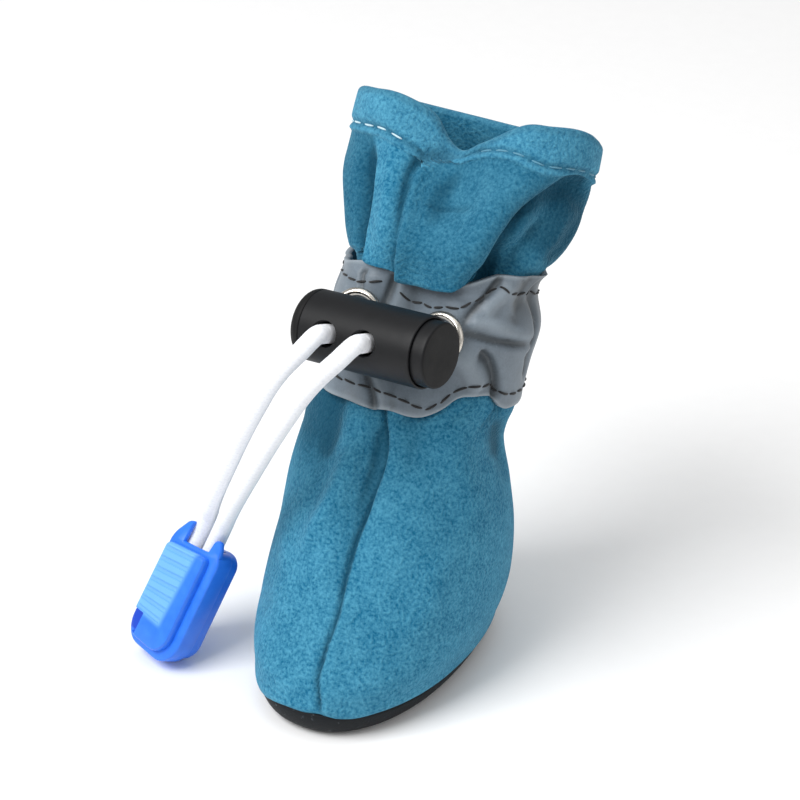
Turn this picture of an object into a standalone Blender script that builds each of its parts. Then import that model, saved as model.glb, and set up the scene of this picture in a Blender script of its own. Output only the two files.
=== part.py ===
"""A small dog's boot of soft pile fabric on a thin rubber sole, drawn in at the ankle by a cord.

The boot stands empty on the XY plane, its toe towards -Y and +Z up. The origin is the middle of the
flat underside. Lengths are in metres and angles in degrees.

Every soft piece is cut from one form, skin(), which runs from the sole's rim (station 0) over the foot to
the ankle (station 1) and up the leaning shaft to the collar's edge (station 2). A turn goes round the
boot: 0 is the middle of the front, 90 is +X and 180 is the back seam.
"""

import math
from collections import namedtuple

import bmesh
import bpy
import numpy as np
from mathutils import Matrix, Vector

# Sole and insole
SOLE_LENGTH = 0.0555
SOLE_WIDTH = 0.0322
SOLE_THICKNESS = 0.0018
SOLE_WALL = 0.0016
SOLE_EDGE_ROLL = 0.0036
SIDE_RIM_HEIGHT = 0.0037
TOE_RIM_HEIGHT = 0.0052
TOE_RIM_SPREAD = 55.0
INSOLE_THICKNESS = 0.0015

# Upper
UPPER_WALL = 0.0018
FOOT_HEIGHT = 0.0486
ANKLE_SETBACK = 0.0138
ANKLE_WIDTH = 0.0324
ANKLE_DEPTH = 0.0300
SHAFT_LENGTH = 0.0442
SHAFT_LEAN = 24.0
COLLAR_WIDTH = 0.0428
COLLAR_DEPTH = 0.0250
FRONT_VALLEY = 0.0050
VALLEY_SPREAD = 24.0
NOTCH_DEPTH = 0.0055
FOLD_DEPTH = 0.0030
HEM_WIDTH = 0.0070
HEM_STEP = 0.0006

# Ankle band, eyelets and cord
BAND_WIDTH = 0.0195
BAND_THICKNESS = 0.0008
TUNNEL_HEIGHT = 0.0118
TUNNEL_DEPTH = 0.0043
TUNNEL_SWELL = 0.0006
TUNNEL_SPREAD = 0.0042
CORD_DIAMETER = 0.0032
EYELET_TURN = 27.5
EYELET_BORE = 0.0060
EYELET_WALL = 0.0004
EYELET_FLANGE = 0.0087
EYELET_FLANGE_THICKNESS = 0.0008
EYELET_SEAT = 0.0006
FEED_LEAD = 0.0010
FEED_TURNS = (15.0, 27.0)
ROUND_TURN = 48.0
ROUND_POINTS = 13

# Cord lock
LOCK_LENGTH = 0.0240
LOCK_DIAMETER = 0.0120
LOCK_WALL = 0.0009
LOCK_EDGE = 0.0010
LOCK_HOLE = 0.0041
LOCK_HOLE_SPACING = 0.0076
LOCK_HOLE_SHIFT = -0.0008
LOCK_STANDOFF = 0.0047
LOCK_SIDE_SHIFT = -0.0002
LOCK_LIFT = 0.0028
LOCK_TURN = 5.7
LOCK_RISE = 5.8
LOCK_PITCH = 20.0
LOCK_LEAD = 0.0005
BUTTON_OUT = 0.0024
BUTTON_TRAVEL = 0.0020

# Cord clip
CLIP_LENGTH = 0.0240
CLIP_WIDTH = 0.0118
CLIP_DEPTH = 0.0080
CLIP_PLATE = 0.0026
CLIP_STEP = 0.0009
CLIP_TAPER = 0.80
CLIP_EDGE = 0.0006
CLIP_MOUTH_DEPTH = 0.0070
CLIP_RIBS = 7
CLIP_RIB_PITCH = 0.0021
CLIP_RIB_GROOVE = 0.0005
CLIP_PLACE = (-0.0327, -0.0211, 0.0015)
CLIP_LEAN = 29.0
CLIP_LEAN_TOWARDS = 58.0
CLIP_TURN = -17.0

# Running clearance between pieces that touch
GAP = 0.0003

# Facets
TURNS = 56
LOCK_SIDES = 28
HOLE_SIDES = 16
EYELET_SIDES = 18
SHARP_ANGLE = 35.0

# Reaches over which the form's direction is measured, and the stations where the sole rim's climb has
# faded and where the collar's notch begins
NORMAL_REACH = 6.0
FACING_TURN = 4.0
FACING_STATION = 0.02
LIP_START = 1.5
RIM_BLEND = 0.28

SoleRow = namedtuple("SoleRow", "station width toe heel lean valley square")
ShaftRow = namedtuple("ShaftRow", "along widening deepening lean valley square")
LipRow = namedtuple("LipRow", "turn rise")
Fold = namedtuple("Fold", "low_turn high_turn spread depth start stop")
StrandBend = namedtuple("StrandBend", "share push sag")
Section = namedtuple("Section", "centre lean half_width half_depth valley square")

# The foot, from the sole's rim up. Half widths are shares of SOLE_WIDTH, toe and heel reaches are shares
# of SOLE_LENGTH, and lean and valley are shares of SHAFT_LEAN and FRONT_VALLEY.
FOOT = (
    SoleRow(0.00, 0.500, 0.500, 0.500, 0.00, 0.00, 2.20),
    SoleRow(0.12, 0.560, 0.482, 0.508, 0.00, 0.00, 2.22),
    SoleRow(0.28, 0.596, 0.414, 0.512, 0.00, 0.00, 2.22),
    SoleRow(0.46, 0.595, 0.318, 0.504, 0.00, 0.10, 2.18),
    SoleRow(0.64, 0.554, 0.222, 0.486, 0.05, 0.25, 2.10),
    SoleRow(0.82, 0.488, 0.120, 0.476, 0.15, 0.40, 2.05),
)

# The shaft, from the ankle up. Widening and deepening go from the ankle's size at 0 to the collar's at 1.
SHAFT = (
    ShaftRow(0.00, 0.00, 0.00, 0.30, 0.50, 2.0),
    ShaftRow(0.25, 0.03, 0.00, 0.50, 1.30, 2.0),
    ShaftRow(0.44, 0.06, 0.15, 0.65, 0.80, 2.0),
    ShaftRow(0.54, 0.40, 0.25, 0.80, 0.50, 2.1),
    ShaftRow(0.70, 0.86, 0.45, 0.95, 0.50, 2.2),
    ShaftRow(0.86, 1.02, 0.75, 1.05, 0.80, 2.2),
    ShaftRow(1.00, 1.00, 1.00, 1.10, 1.20, 2.2),
)

# How far the collar's edge rises above its plane, as a share of NOTCH_DEPTH: a steep notch between lobes.
LIP = (
    LipRow(-180, 0.00),
    LipRow(-130, 0.02),
    LipRow(-90, 0.10),
    LipRow(-60, 0.18),
    LipRow(-46, 0.20),
    LipRow(-34, 0.24),
    LipRow(-28, 0.22),
    LipRow(-22, 0.15),
    LipRow(-16, 0.04),
    LipRow(-10, -0.20),
    LipRow(-4, -0.72),
    LipRow(2, -1.00),
    LipRow(10, -0.67),
    LipRow(18, -0.36),
    LipRow(26, -0.04),
    LipRow(34, 0.21),
    LipRow(50, 0.35),
    LipRow(66, 0.43),
    LipRow(82, 0.38),
    LipRow(98, 0.18),
    LipRow(120, 0.05),
    LipRow(180, 0.00),
)

# The main folds. Depth is a share of FOLD_DEPTH, positive for a trough and negative for a ridge.
FOLDS = (
    Fold(42, 88, 14, 0.95, 1.42, 1.88),
    Fold(22, 48, 18, -0.50, 1.40, 1.92),
    Fold(80, 122, 16, -0.50, 1.40, 1.84),
    Fold(-34, -42, 12, 0.80, 1.40, 1.90),
    Fold(-14, -18, 9, -0.45, 1.42, 1.92),
    Fold(176, 158, 16, 0.55, 1.40, 1.82),
    Fold(-132, -146, 16, 0.50, 1.40, 1.82),
    Fold(-4, -12, 12, -0.45, 0.45, 1.00),
    Fold(8, 4, 7, 0.50, 0.45, 1.02),
)

# The free strands. Each row is a share of the way from the lock's hole to the clip, a push forwards and
# a sag, both chosen by hand.
STRAND_BENDS = (
    StrandBend(0.06, 0.0019, 0.0000),
    StrandBend(0.16, 0.0049, -0.0002),
    StrandBend(0.38, 0.0060, -0.0006),
    StrandBend(0.62, 0.0047, -0.0006),
    StrandBend(0.84, 0.0026, -0.0003),
)
STRAND_LEAD = 0.0012
STRAND_SPREAD = 0.0038
STRAND_INSET = 0.0055


def clear_scene():
    """Remove whatever the open file holds."""
    for obj in list(bpy.data.objects):
        bpy.data.objects.remove(obj, do_unlink=True)


def fading(value, start, stop):
    """0 before start, 1 after stop, and smooth between them."""
    share = np.clip((value - start) / (stop - start), 0.0, 1.0)
    return share * share * (3.0 - 2.0 * share)


def bell(angle, spread):
    """A smooth hump, 1 in the middle, over an angle in degrees that wraps at 180."""
    wrapped = (np.asarray(angle) + 180.0) % 360.0 - 180.0
    return np.exp(-((wrapped / spread) ** 2))


def smooth_column(stations, values, at):
    """The value at a station, on a smooth curve through a table's column."""
    stations = np.asarray(stations, float)
    values = np.asarray(values, float)
    slopes = np.gradient(values, stations)
    k = int(np.clip(np.searchsorted(stations, at) - 1, 0, len(stations) - 2))
    span = stations[k + 1] - stations[k]
    t = (at - stations[k]) / span
    rise = values[k] * (2 * t**3 - 3 * t**2 + 1) + values[k + 1] * (3 * t**2 - 2 * t**3)
    bend = slopes[k] * (t**3 - 2 * t**2 + t) + slopes[k + 1] * (t**3 - t**2)
    return rise + span * bend


def foot_section(row):
    """A row of FOOT as a real section."""
    return Section(
        centre=(0.5 * (row.heel - row.toe) * SOLE_LENGTH, row.station * FOOT_HEIGHT),
        lean=row.lean * SHAFT_LEAN,
        half_width=row.width * SOLE_WIDTH,
        half_depth=0.5 * (row.heel + row.toe) * SOLE_LENGTH,
        valley=row.valley * FRONT_VALLEY,
        square=row.square,
    )


def shaft_section(row):
    """A row of SHAFT as a real section, centred on the leaning shaft's axis."""
    along = row.along * SHAFT_LENGTH
    lean = math.radians(SHAFT_LEAN)
    return Section(
        centre=(ANKLE_SETBACK + along * math.sin(lean), FOOT_HEIGHT + along * math.cos(lean)),
        lean=row.lean * SHAFT_LEAN,
        half_width=0.5 * (ANKLE_WIDTH + row.widening * (COLLAR_WIDTH - ANKLE_WIDTH)),
        half_depth=0.5 * (ANKLE_DEPTH + row.deepening * (COLLAR_DEPTH - ANKLE_DEPTH)),
        valley=row.valley * FRONT_VALLEY,
        square=row.square,
    )


SECTION_STATIONS = [row.station for row in FOOT] + [1.0 + row.along for row in SHAFT]
SECTIONS = [foot_section(row) for row in FOOT] + [shaft_section(row) for row in SHAFT]
SECTION_TABLE = np.array([[*s.centre, *s[1:]] for s in SECTIONS])
BAND_TOP = 1.0 + BAND_WIDTH / SHAFT_LENGTH
TUNNEL_MIDDLE = 1.0 + TUNNEL_HEIGHT / SHAFT_LENGTH
HEM_BOTTOM = 2.0 - HEM_WIDTH / SHAFT_LENGTH
TUNNEL_REACH = TUNNEL_SPREAD / SHAFT_LENGTH


def section_at(station):
    """The section at any station, between the rows of the two tables."""
    values = [smooth_column(SECTION_STATIONS, column, station) for column in SECTION_TABLE.T]
    return Section((values[0], values[1]), *values[2:])


def lip_rise(turns):
    """How far the collar's edge rises above its plane, round the boot."""
    wrapped = (turns + 180.0) % 360.0 - 180.0
    rise = [smooth_column([row.turn for row in LIP], [row.rise for row in LIP], turn) for turn in wrapped]
    return NOTCH_DEPTH * np.array(rise)


def rim_height(turns):
    """Height of the sole's rim, which climbs over the toe."""
    return SIDE_RIM_HEIGHT + (TOE_RIM_HEIGHT - SIDE_RIM_HEIGHT) * bell(turns, TOE_RIM_SPREAD)


def outline(section, station, turns):
    """The section's outline in its own plane: a rounded oval with the front valley and the folds."""
    angles = np.radians(turns)
    power = 2.0 / section.square
    x = section.half_width * np.sign(np.sin(angles)) * np.abs(np.sin(angles)) ** power
    y = -section.half_depth * np.sign(np.cos(angles)) * np.abs(np.cos(angles)) ** power
    y = y + section.valley * bell(turns, VALLEY_SPREAD)
    sink = np.zeros_like(angles)
    for fold in FOLDS:
        share = np.clip((station - fold.start) / (fold.stop - fold.start), 0.0, 1.0)
        middle = fold.low_turn + share * (fold.high_turn - fold.low_turn)
        strength = math.sin(math.pi * share) ** 0.7
        sink = sink + fold.depth * FOLD_DEPTH * strength * bell(turns - middle, fold.spread)
    reach = np.hypot(x, y)
    return np.stack([x * (1 - sink / reach), y * (1 - sink / reach)], axis=1)


def skin(station, turns, offset=0.0):
    """Points of the boot's form at a station, moved outwards by offset."""
    section = section_at(station)
    turns = np.asarray(turns, float)
    flat = outline(section, station, turns)
    ahead = outline(section, station, turns + NORMAL_REACH)
    behind = outline(section, station, turns - NORMAL_REACH)
    along = ahead - behind
    normal = np.stack([along[:, 1], -along[:, 0]], axis=1)
    normal /= np.linalg.norm(normal, axis=1)[:, None]
    outward = normal + flat / np.linalg.norm(flat, axis=1)[:, None]
    outward /= np.linalg.norm(outward, axis=1)[:, None]
    flat = flat + outward * offset
    lift = lip_rise(turns) * fading(station, LIP_START, 2.0)
    lean = math.radians(section.lean)
    height = np.full(len(turns), section.centre[1])
    if station < RIM_BLEND:
        rim = rim_height(turns) + GAP
        height = rim + (RIM_BLEND * FOOT_HEIGHT - rim) * station / RIM_BLEND
    x = flat[:, 0]
    y = section.centre[0] + flat[:, 1] * math.cos(lean) + lift * math.sin(lean)
    z = height - flat[:, 1] * math.sin(lean) + lift * math.cos(lean)
    return np.stack([x, y, z], axis=1)


def cinch(station):
    """How far the cord draws the upper in below the band, at a station."""
    share = abs(station - TUNNEL_MIDDLE) / TUNNEL_REACH
    return TUNNEL_DEPTH * max(0.0, 1.0 - share**4)


def swell(station):
    """How far the cord pushes the band out, at a station."""
    share = abs(station - TUNNEL_MIDDLE) / TUNNEL_REACH
    return TUNNEL_SWELL * math.exp(-(share**2))


def all_turns():
    """Evenly spaced turns round the boot."""
    return np.arange(TURNS) * 360.0 / TURNS


def material(name, colour, roughness, metallic=0.0):
    """A plain finish in the part's colour."""
    made = bpy.data.materials.new(name)
    made.use_nodes = True
    shader = made.node_tree.nodes["Principled BSDF"]
    shader.inputs["Base Color"].default_value = (*colour, 1.0)
    shader.inputs["Roughness"].default_value = roughness
    shader.inputs["Metallic"].default_value = metallic
    made.diffuse_color = (*colour, 1.0)
    return made


def add_object(name, mesh, finish, parent, matrix=None):
    """Link a mesh as one named piece."""
    mesh.materials.append(finish)
    mesh.shade_smooth()
    mesh.set_sharp_from_angle(angle=math.radians(SHARP_ANGLE))
    obj = bpy.data.objects.new(name, mesh)
    bpy.context.scene.collection.objects.link(obj)
    obj.parent = parent
    if matrix is not None:
        obj.matrix_world = matrix
    return obj


def bridge(bm, lower, upper):
    """Quads between two rings of vertices that turn the same way."""
    for i in range(len(lower)):
        j = (i + 1) % len(lower)
        bm.faces.new((lower[i], lower[j], upper[j], upper[i]))


def ring_mesh(name, rings, closed_loop):
    """A mesh through rings of points, either joined last to first or capped at both ends."""
    bm = bmesh.new()
    made = [[bm.verts.new(point) for point in ring] for ring in rings]
    for lower, upper in zip(made, made[1:]):
        bridge(bm, lower, upper)
    if closed_loop:
        bridge(bm, made[-1], made[0])
    else:
        bm.faces.new(list(reversed(made[0])))
        bm.faces.new(made[-1])
    bmesh.ops.recalc_face_normals(bm, faces=bm.faces)
    mesh = bpy.data.meshes.new(name)
    bm.to_mesh(mesh)
    bm.free()
    return mesh


def cut(obj, cutter):
    """Cut one piece with another, and keep the cutter as a hidden helper."""
    modifier = obj.modifiers.new(cutter.name, "BOOLEAN")
    modifier.operation = "DIFFERENCE"
    modifier.solver = "EXACT"
    modifier.object = cutter
    cutter.hide_render = True
    cutter.display_type = "WIRE"


def rod_mesh(name, start, end, radius, sides):
    """A straight round rod between two points."""
    start, end = Vector(start), Vector(end)
    frame = (end - start).to_track_quat("Z", "Y").to_matrix()
    rings = []
    for centre in (start, end):
        ring = []
        for i in range(sides):
            angle = 2.0 * math.pi * i / sides
            ring.append(centre + frame @ Vector((radius * math.cos(angle), radius * math.sin(angle), 0.0)))
        rings.append(ring)
    return ring_mesh(name, rings, closed_loop=False)


def build_outsole(root, finish):
    """A shallow rubber dish: flat underside, rolled edge and a rim that climbs over the toe."""
    turns = all_turns()
    rim = rim_height(turns)

    def edge(inset, heights):
        points = skin(0.0, turns, -inset)
        points[:, 2] = heights
        return points

    rings = []
    for share in np.linspace(1.0, 0.0, 5):
        angle = share * math.pi / 2
        rings.append(edge(SOLE_EDGE_ROLL * (1 - math.cos(angle)), rim * (1 - math.sin(angle))))
    depth = rim - SOLE_THICKNESS
    for share in np.linspace(0.0, 1.0, 4):
        angle = share * math.pi / 2
        inset = SOLE_WALL + SOLE_EDGE_ROLL * (1 - math.cos(angle))
        rings.append(edge(inset, SOLE_THICKNESS + depth * (1 - math.sin(angle))))
    return add_object("outsole", ring_mesh("outsole", rings, closed_loop=False), finish, root)


def build_insole(root, finish):
    """A flat fleece sock lining that lies in the sole's dish."""
    turns = all_turns()
    base = SOLE_THICKNESS + GAP
    inset = SOLE_WALL + SOLE_EDGE_ROLL + GAP
    rings = []
    for height in (base, base + INSOLE_THICKNESS):
        ring = skin(0.0, turns, -inset)
        ring[:, 2] = height
        rings.append(ring)
    return add_object("insole", ring_mesh("insole", rings, closed_loop=False), finish, root)


def upper_stations():
    """Where the rings of the foot, the cinched waist and the shaft lie."""
    foot = [0.0, 0.06, 0.14, 0.23, 0.33, 0.45, 0.57, 0.69, 0.80, 0.90]
    close = [TUNNEL_MIDDLE + TUNNEL_REACH * share for share in (-1.0, -0.7, -0.35, 0.35, 0.7, 1.0)]
    shaft = list(np.linspace(BAND_TOP, HEM_BOTTOM, 7)[:-1])
    return foot, [1.0] + close, shaft


def build_upper(root, finish):
    """The hollow fabric boot, open at the collar and above the sole, with its hem as a step."""
    turns = all_turns()
    foot, waist, shaft = upper_stations()
    outer = [skin(station, turns, -cinch(station)) for station in foot + waist + shaft]
    outer.append(skin(HEM_BOTTOM, turns, 0.0))
    for station in (HEM_BOTTOM, 0.5 * (HEM_BOTTOM + 2.0), 2.0):
        outer.append(skin(station, turns, HEM_STEP))
    lined = foot[::2] + waist + shaft[::2]
    inner = [skin(station, turns, -cinch(station) - UPPER_WALL) for station in lined]
    for station in (HEM_BOTTOM, 2.0):
        inner.append(skin(station, turns, -UPPER_WALL))
    mesh = ring_mesh("upper", outer + inner[::-1], closed_loop=True)
    return add_object("upper", mesh, finish, root)


def band_point(turn, offset=0.0):
    """A point on the outside of the band over the tunnel, and the direction in which it faces."""
    reach = GAP + BAND_THICKNESS + TUNNEL_SWELL + offset
    turns = [turn - FACING_TURN, turn, turn + FACING_TURN]
    behind, near, ahead = (Vector(p) for p in skin(TUNNEL_MIDDLE, turns, reach))
    above = Vector(skin(TUNNEL_MIDDLE + FACING_STATION, [turn], reach)[0])
    facing = (ahead - behind).cross(above - near).normalized()
    return near, facing


def build_band(root, finish):
    """The reflective sleeve round the ankle, which is the cord's tunnel, with two eyelet holes."""
    turns = all_turns()
    height = BAND_TOP - 1.0
    stations = [1.0 + share * height for share in (0.0, 0.16, 0.33, 0.50, 0.67, 0.84, 1.0)]
    outer = [skin(s, turns, GAP + swell(s) + BAND_THICKNESS) for s in stations]
    inner = [skin(s, turns, GAP + swell(s)) for s in stations[:1] + stations[2:-2] + stations[-1:]]
    mesh = ring_mesh("reflective_band", outer + inner[::-1], closed_loop=True)
    band = add_object("reflective_band", mesh, finish, root)
    radius = 0.5 * EYELET_BORE + EYELET_WALL + GAP
    for side in (-1, 1):
        point, facing = band_point(side * EYELET_TURN)
        reach = CORD_DIAMETER * facing
        mesh = rod_mesh("eyelet_cutter", point - reach, point + reach, radius, EYELET_SIDES)
        cut(band, add_object(f"eyelet_cutter_{side}", mesh, finish, root))
    return band


def build_eyelet(name, side, root, finish):
    """A nickel eyelet: a thin barrel through the band under a rounded flange."""
    point, facing = band_point(side * EYELET_TURN)
    bore = 0.5 * EYELET_BORE
    flange = 0.5 * EYELET_FLANGE
    top = EYELET_SEAT + EYELET_FLANGE_THICKNESS
    barrel = bore + EYELET_WALL
    foot = -BAND_THICKNESS
    profile = (
        (bore, foot),
        (barrel, foot),
        (barrel, EYELET_SEAT),
        (flange, EYELET_SEAT),
        (flange - 0.2 * (flange - bore), top),
        (bore + 0.2 * (flange - bore), top),
        (bore, EYELET_SEAT),
    )
    frame = facing.to_track_quat("Z", "Y").to_matrix()
    rings = []
    for radius, height in profile:
        ring = []
        for i in range(EYELET_SIDES):
            angle = 2.0 * math.pi * i / EYELET_SIDES
            spot = Vector((radius * math.cos(angle), radius * math.sin(angle), height))
            ring.append(point + frame @ spot)
        rings.append(ring)
    return add_object(name, ring_mesh(name, rings, closed_loop=True), finish, root)


def lock_matrix():
    """The cord lock's place and attitude: it hangs on its cord just in front of the band."""
    left, _ = band_point(-EYELET_TURN)
    right, _ = band_point(EYELET_TURN)
    out = LOCK_STANDOFF + 0.5 * LOCK_DIAMETER
    place = 0.5 * (left + right) + Vector((LOCK_SIDE_SHIFT, -out, LOCK_LIFT))
    turn = Matrix.Rotation(math.radians(-LOCK_TURN), 4, "Z")
    rise = Matrix.Rotation(math.radians(-LOCK_RISE), 4, "Y")
    pitch = Matrix.Rotation(math.radians(-LOCK_PITCH), 4, "X")
    return Matrix.Translation(place) @ turn @ rise @ pitch


def hole_places():
    """Where the two cord holes cross the lock's axis, in the lock's own frame."""
    half = 0.5 * LOCK_HOLE_SPACING
    return (LOCK_HOLE_SHIFT - half, LOCK_HOLE_SHIFT + half)


def lock_ring(x, inset):
    """A circle round the lock's axis at x, drawn in from the barrel's outside by inset."""
    radius = 0.5 * LOCK_DIAMETER - inset
    ring = []
    for i in range(LOCK_SIDES):
        angle = 2.0 * math.pi * i / LOCK_SIDES
        ring.append((x, radius * math.cos(angle), radius * math.sin(angle)))
    return ring


def build_lock_barrel(root, finish):
    """The lock's barrel: a tube closed at its left end, with two holes across it for the cord."""
    half = 0.5 * LOCK_LENGTH
    outside = (
        lock_ring(-half, LOCK_EDGE),
        lock_ring(-half + 0.3 * LOCK_EDGE, 0.3 * LOCK_EDGE),
        lock_ring(-half + LOCK_EDGE, 0.0),
        lock_ring(half - 0.5 * LOCK_WALL, 0.0),
        lock_ring(half, 0.5 * LOCK_WALL),
    )
    inside = (lock_ring(half, LOCK_WALL), lock_ring(-half + 1.5 * LOCK_WALL, LOCK_WALL))
    mesh = ring_mesh("lock_barrel", (*outside, *inside), closed_loop=False)
    barrel = add_object("lock_barrel", mesh, finish, root, lock_matrix())
    for number, x in enumerate(hole_places()):
        ends = (Vector((x, -LOCK_DIAMETER, 0.0)), Vector((x, LOCK_DIAMETER, 0.0)))
        mesh = rod_mesh("hole_cutter", *ends, 0.5 * LOCK_HOLE, HOLE_SIDES)
        cut(barrel, add_object(f"hole_cutter_{number}", mesh, finish, root, lock_matrix()))
    return barrel


def slot_mesh(name, x, reach, width, depth):
    """A round-ended slot cutter across the plunger, from the cord's place x on by reach."""
    radius = 0.5 * width
    rings = []
    for y in (-depth, depth):
        ring = []
        for i in range(HOLE_SIDES):
            angle = 2.0 * math.pi * (i + 0.5) / HOLE_SIDES
            shift = reach if math.cos(angle) > 0 else 0.0
            ring.append((x + shift + radius * math.cos(angle), y, radius * math.sin(angle)))
        rings.append(ring)
    return ring_mesh(name, rings, closed_loop=False)


def build_lock_button(root, finish):
    """The lock's plunger: its head stands out of the barrel's right end, and its slots pass the cord."""
    half = 0.5 * LOCK_LENGTH
    inset = LOCK_WALL + GAP
    left = hole_places()[0] - 0.5 * LOCK_HOLE - LOCK_WALL
    rings = (
        lock_ring(left, inset),
        lock_ring(half + BUTTON_OUT - LOCK_EDGE, inset),
        lock_ring(half + BUTTON_OUT - 0.3 * LOCK_EDGE, inset + 0.3 * LOCK_EDGE),
        lock_ring(half + BUTTON_OUT, inset + LOCK_EDGE),
    )
    mesh = ring_mesh("lock_button", rings, closed_loop=False)
    button = add_object("lock_button", mesh, finish, root, lock_matrix())
    for number, x in enumerate(hole_places()):
        mesh = slot_mesh("slot_cutter", x, BUTTON_TRAVEL, LOCK_HOLE, LOCK_DIAMETER)
        cut(button, add_object(f"slot_cutter_{number}", mesh, finish, root, lock_matrix()))
    return button


def smooth_route(points, step):
    """Points about a step apart on a smooth curve through a route's own points."""
    points = np.asarray([tuple(p) for p in points], float)
    spans = np.linalg.norm(np.diff(points, axis=0), axis=1)
    marks = np.concatenate([[0.0], np.cumsum(spans)])
    count = max(2, int(round(marks[-1] / step)))
    samples = np.linspace(0.0, marks[-1], count + 1)
    return [Vector([smooth_column(marks, points[:, i], s) for i in range(3)]) for s in samples]


def build_cord(name, route, root, finish):
    """A round cord along a route, as a bevelled curve with filled ends."""
    curve = bpy.data.curves.new(name, "CURVE")
    curve.dimensions = "3D"
    curve.bevel_depth = 0.5 * CORD_DIAMETER
    curve.bevel_resolution = 2
    curve.use_fill_caps = True
    spline = curve.splines.new("POLY")
    spline.points.add(len(route) - 1)
    for point, place in zip(spline.points, route):
        point.co = (*place, 1.0)
    curve.materials.append(finish)
    obj = bpy.data.objects.new(name, curve)
    bpy.context.scene.collection.objects.link(obj)
    obj.parent = root
    return obj


def lock_hole(number, depth):
    """A point on the axis of one of the lock's holes, at a depth behind its front mouth."""
    return lock_matrix() @ Vector((hole_places()[number], depth - 0.5 * LOCK_DIAMETER, 0.0))


def lock_exit(number):
    """Two points just behind a hole's back mouth, which lead the cord out straight."""
    return [lock_hole(number, LOCK_DIAMETER + lead) for lead in (GAP, LOCK_LEAD)]


def eyelet_feed(side):
    """The cord's way through an eyelet and on into the tunnel."""
    point, facing = band_point(side * EYELET_TURN)
    deep = BAND_THICKNESS + TUNNEL_SWELL + TUNNEL_DEPTH - 0.5 * CORD_DIAMETER - GAP
    tunnel = [band_point(side * (EYELET_TURN + step), -deep)[0] for step in FEED_TURNS]
    return [point + FEED_LEAD * facing, point, *tunnel]


def build_drawcord(root, finish):
    """The held cord: out of the lock, through an eyelet, round the ankle in its tunnel and back."""
    depth = GAP + BAND_THICKNESS + 0.5 * CORD_DIAMETER
    first = EYELET_TURN + ROUND_TURN
    behind = np.linspace(-first, first - 360.0, ROUND_POINTS)
    round_back = [band_point(turn, -depth)[0] for turn in behind]
    left = [*lock_exit(0), *eyelet_feed(-1)]
    right = [*lock_exit(1), *eyelet_feed(1)]
    curve = smooth_route([*left, *round_back, *right[::-1]], 0.8 * CORD_DIAMETER)
    return build_cord("drawcord", [lock_hole(0, GAP), *curve, lock_hole(1, GAP)], root, finish)


def clip_matrix():
    """The clip's place: its foot rests on the floor and it leans as its cord pulls."""
    towards = Matrix.Rotation(math.radians(CLIP_LEAN_TOWARDS), 4, "Z")
    lean = Matrix.Rotation(math.radians(CLIP_LEAN), 4, "Y")
    turn = Matrix.Rotation(math.radians(CLIP_TURN), 4, "Z")
    return Matrix.Translation(Vector(CLIP_PLACE)) @ towards @ lean @ towards.inverted() @ turn


def clip_outline(inset):
    """The clip's outline in its width and length: a tapered bar with a round foot."""
    half = 0.5 * CLIP_WIDTH - inset
    foot = half * CLIP_TAPER
    corner = 0.25 * CLIP_WIDTH
    points = []
    for angle in np.linspace(-90.0, 0.0, 6):
        points.append((foot - 0.6 * foot + 0.6 * foot * math.cos(math.radians(angle)),
                       inset + 0.6 * foot * (1 + math.sin(math.radians(angle)))))
    for angle in np.linspace(0.0, 90.0, 5):
        points.append((half - corner + corner * math.cos(math.radians(angle)),
                       CLIP_LENGTH - inset - corner + corner * math.sin(math.radians(angle))))
    return points + [(-x, z) for x, z in reversed(points)]


def clip_body():
    """The clip's solid: a wide middle plate between two narrower shells with eased edges."""
    half = 0.5 * CLIP_DEPTH
    plate = 0.5 * CLIP_PLATE
    front = (
        (-half, CLIP_STEP + CLIP_EDGE),
        (-half + CLIP_EDGE, CLIP_STEP),
        (-plate - CLIP_EDGE, CLIP_STEP),
        (-plate, 0.0),
    )
    back = [(-y, inset) for y, inset in reversed(front)]
    rings = []
    for y, inset in (*front, *back):
        rings.append([(x, y, z) for x, z in clip_outline(inset)])
    return ring_mesh("cord_clip", rings, closed_loop=False)


def box_mesh(name, low, high):
    """A box between two corners."""
    rings = []
    for z in (low[2], high[2]):
        rings.append([(low[0], low[1], z), (high[0], low[1], z), (high[0], high[1], z), (low[0], high[1], z)])
    return ring_mesh(name, rings, closed_loop=False)


def build_clip(root, finish):
    """The cord's end clip, with a mouth for the two strands and ribs for the fingers."""
    half = 0.5 * CLIP_DEPTH
    place = clip_matrix()
    clip = add_object("cord_clip", clip_body(), finish, root, place)
    reach = 0.5 * STRAND_SPREAD + 0.5 * CORD_DIAMETER + GAP
    side = 0.5 * CORD_DIAMETER + GAP
    above = 2.0 * CLIP_LENGTH
    mouth = box_mesh("clip_mouth", (-reach, -side, CLIP_LENGTH - CLIP_MOUTH_DEPTH), (reach, side, above))
    cut(clip, add_object("clip_mouth", mouth, finish, root, place))
    low = CLIP_LENGTH - 0.35 * CLIP_MOUTH_DEPTH
    notch = box_mesh("clip_notch", (-0.8 * reach, -CLIP_DEPTH, low), (0.8 * reach, 0.0, above))
    cut(clip, add_object("clip_notch", notch, finish, root, place))
    for rib in range(CLIP_RIBS):
        low = CLIP_LENGTH - 0.5 * CLIP_MOUTH_DEPTH - (rib + 1) * CLIP_RIB_PITCH
        right = (0.30 - 0.06 * rib) * CLIP_WIDTH
        high = (right, -half + CLIP_RIB_GROOVE, low + 0.4 * CLIP_RIB_PITCH)
        groove = box_mesh("clip_rib", (-CLIP_WIDTH, -CLIP_DEPTH, low), high)
        cut(clip, add_object(f"clip_rib_{rib}", groove, finish, root, place))
    return clip


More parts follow.
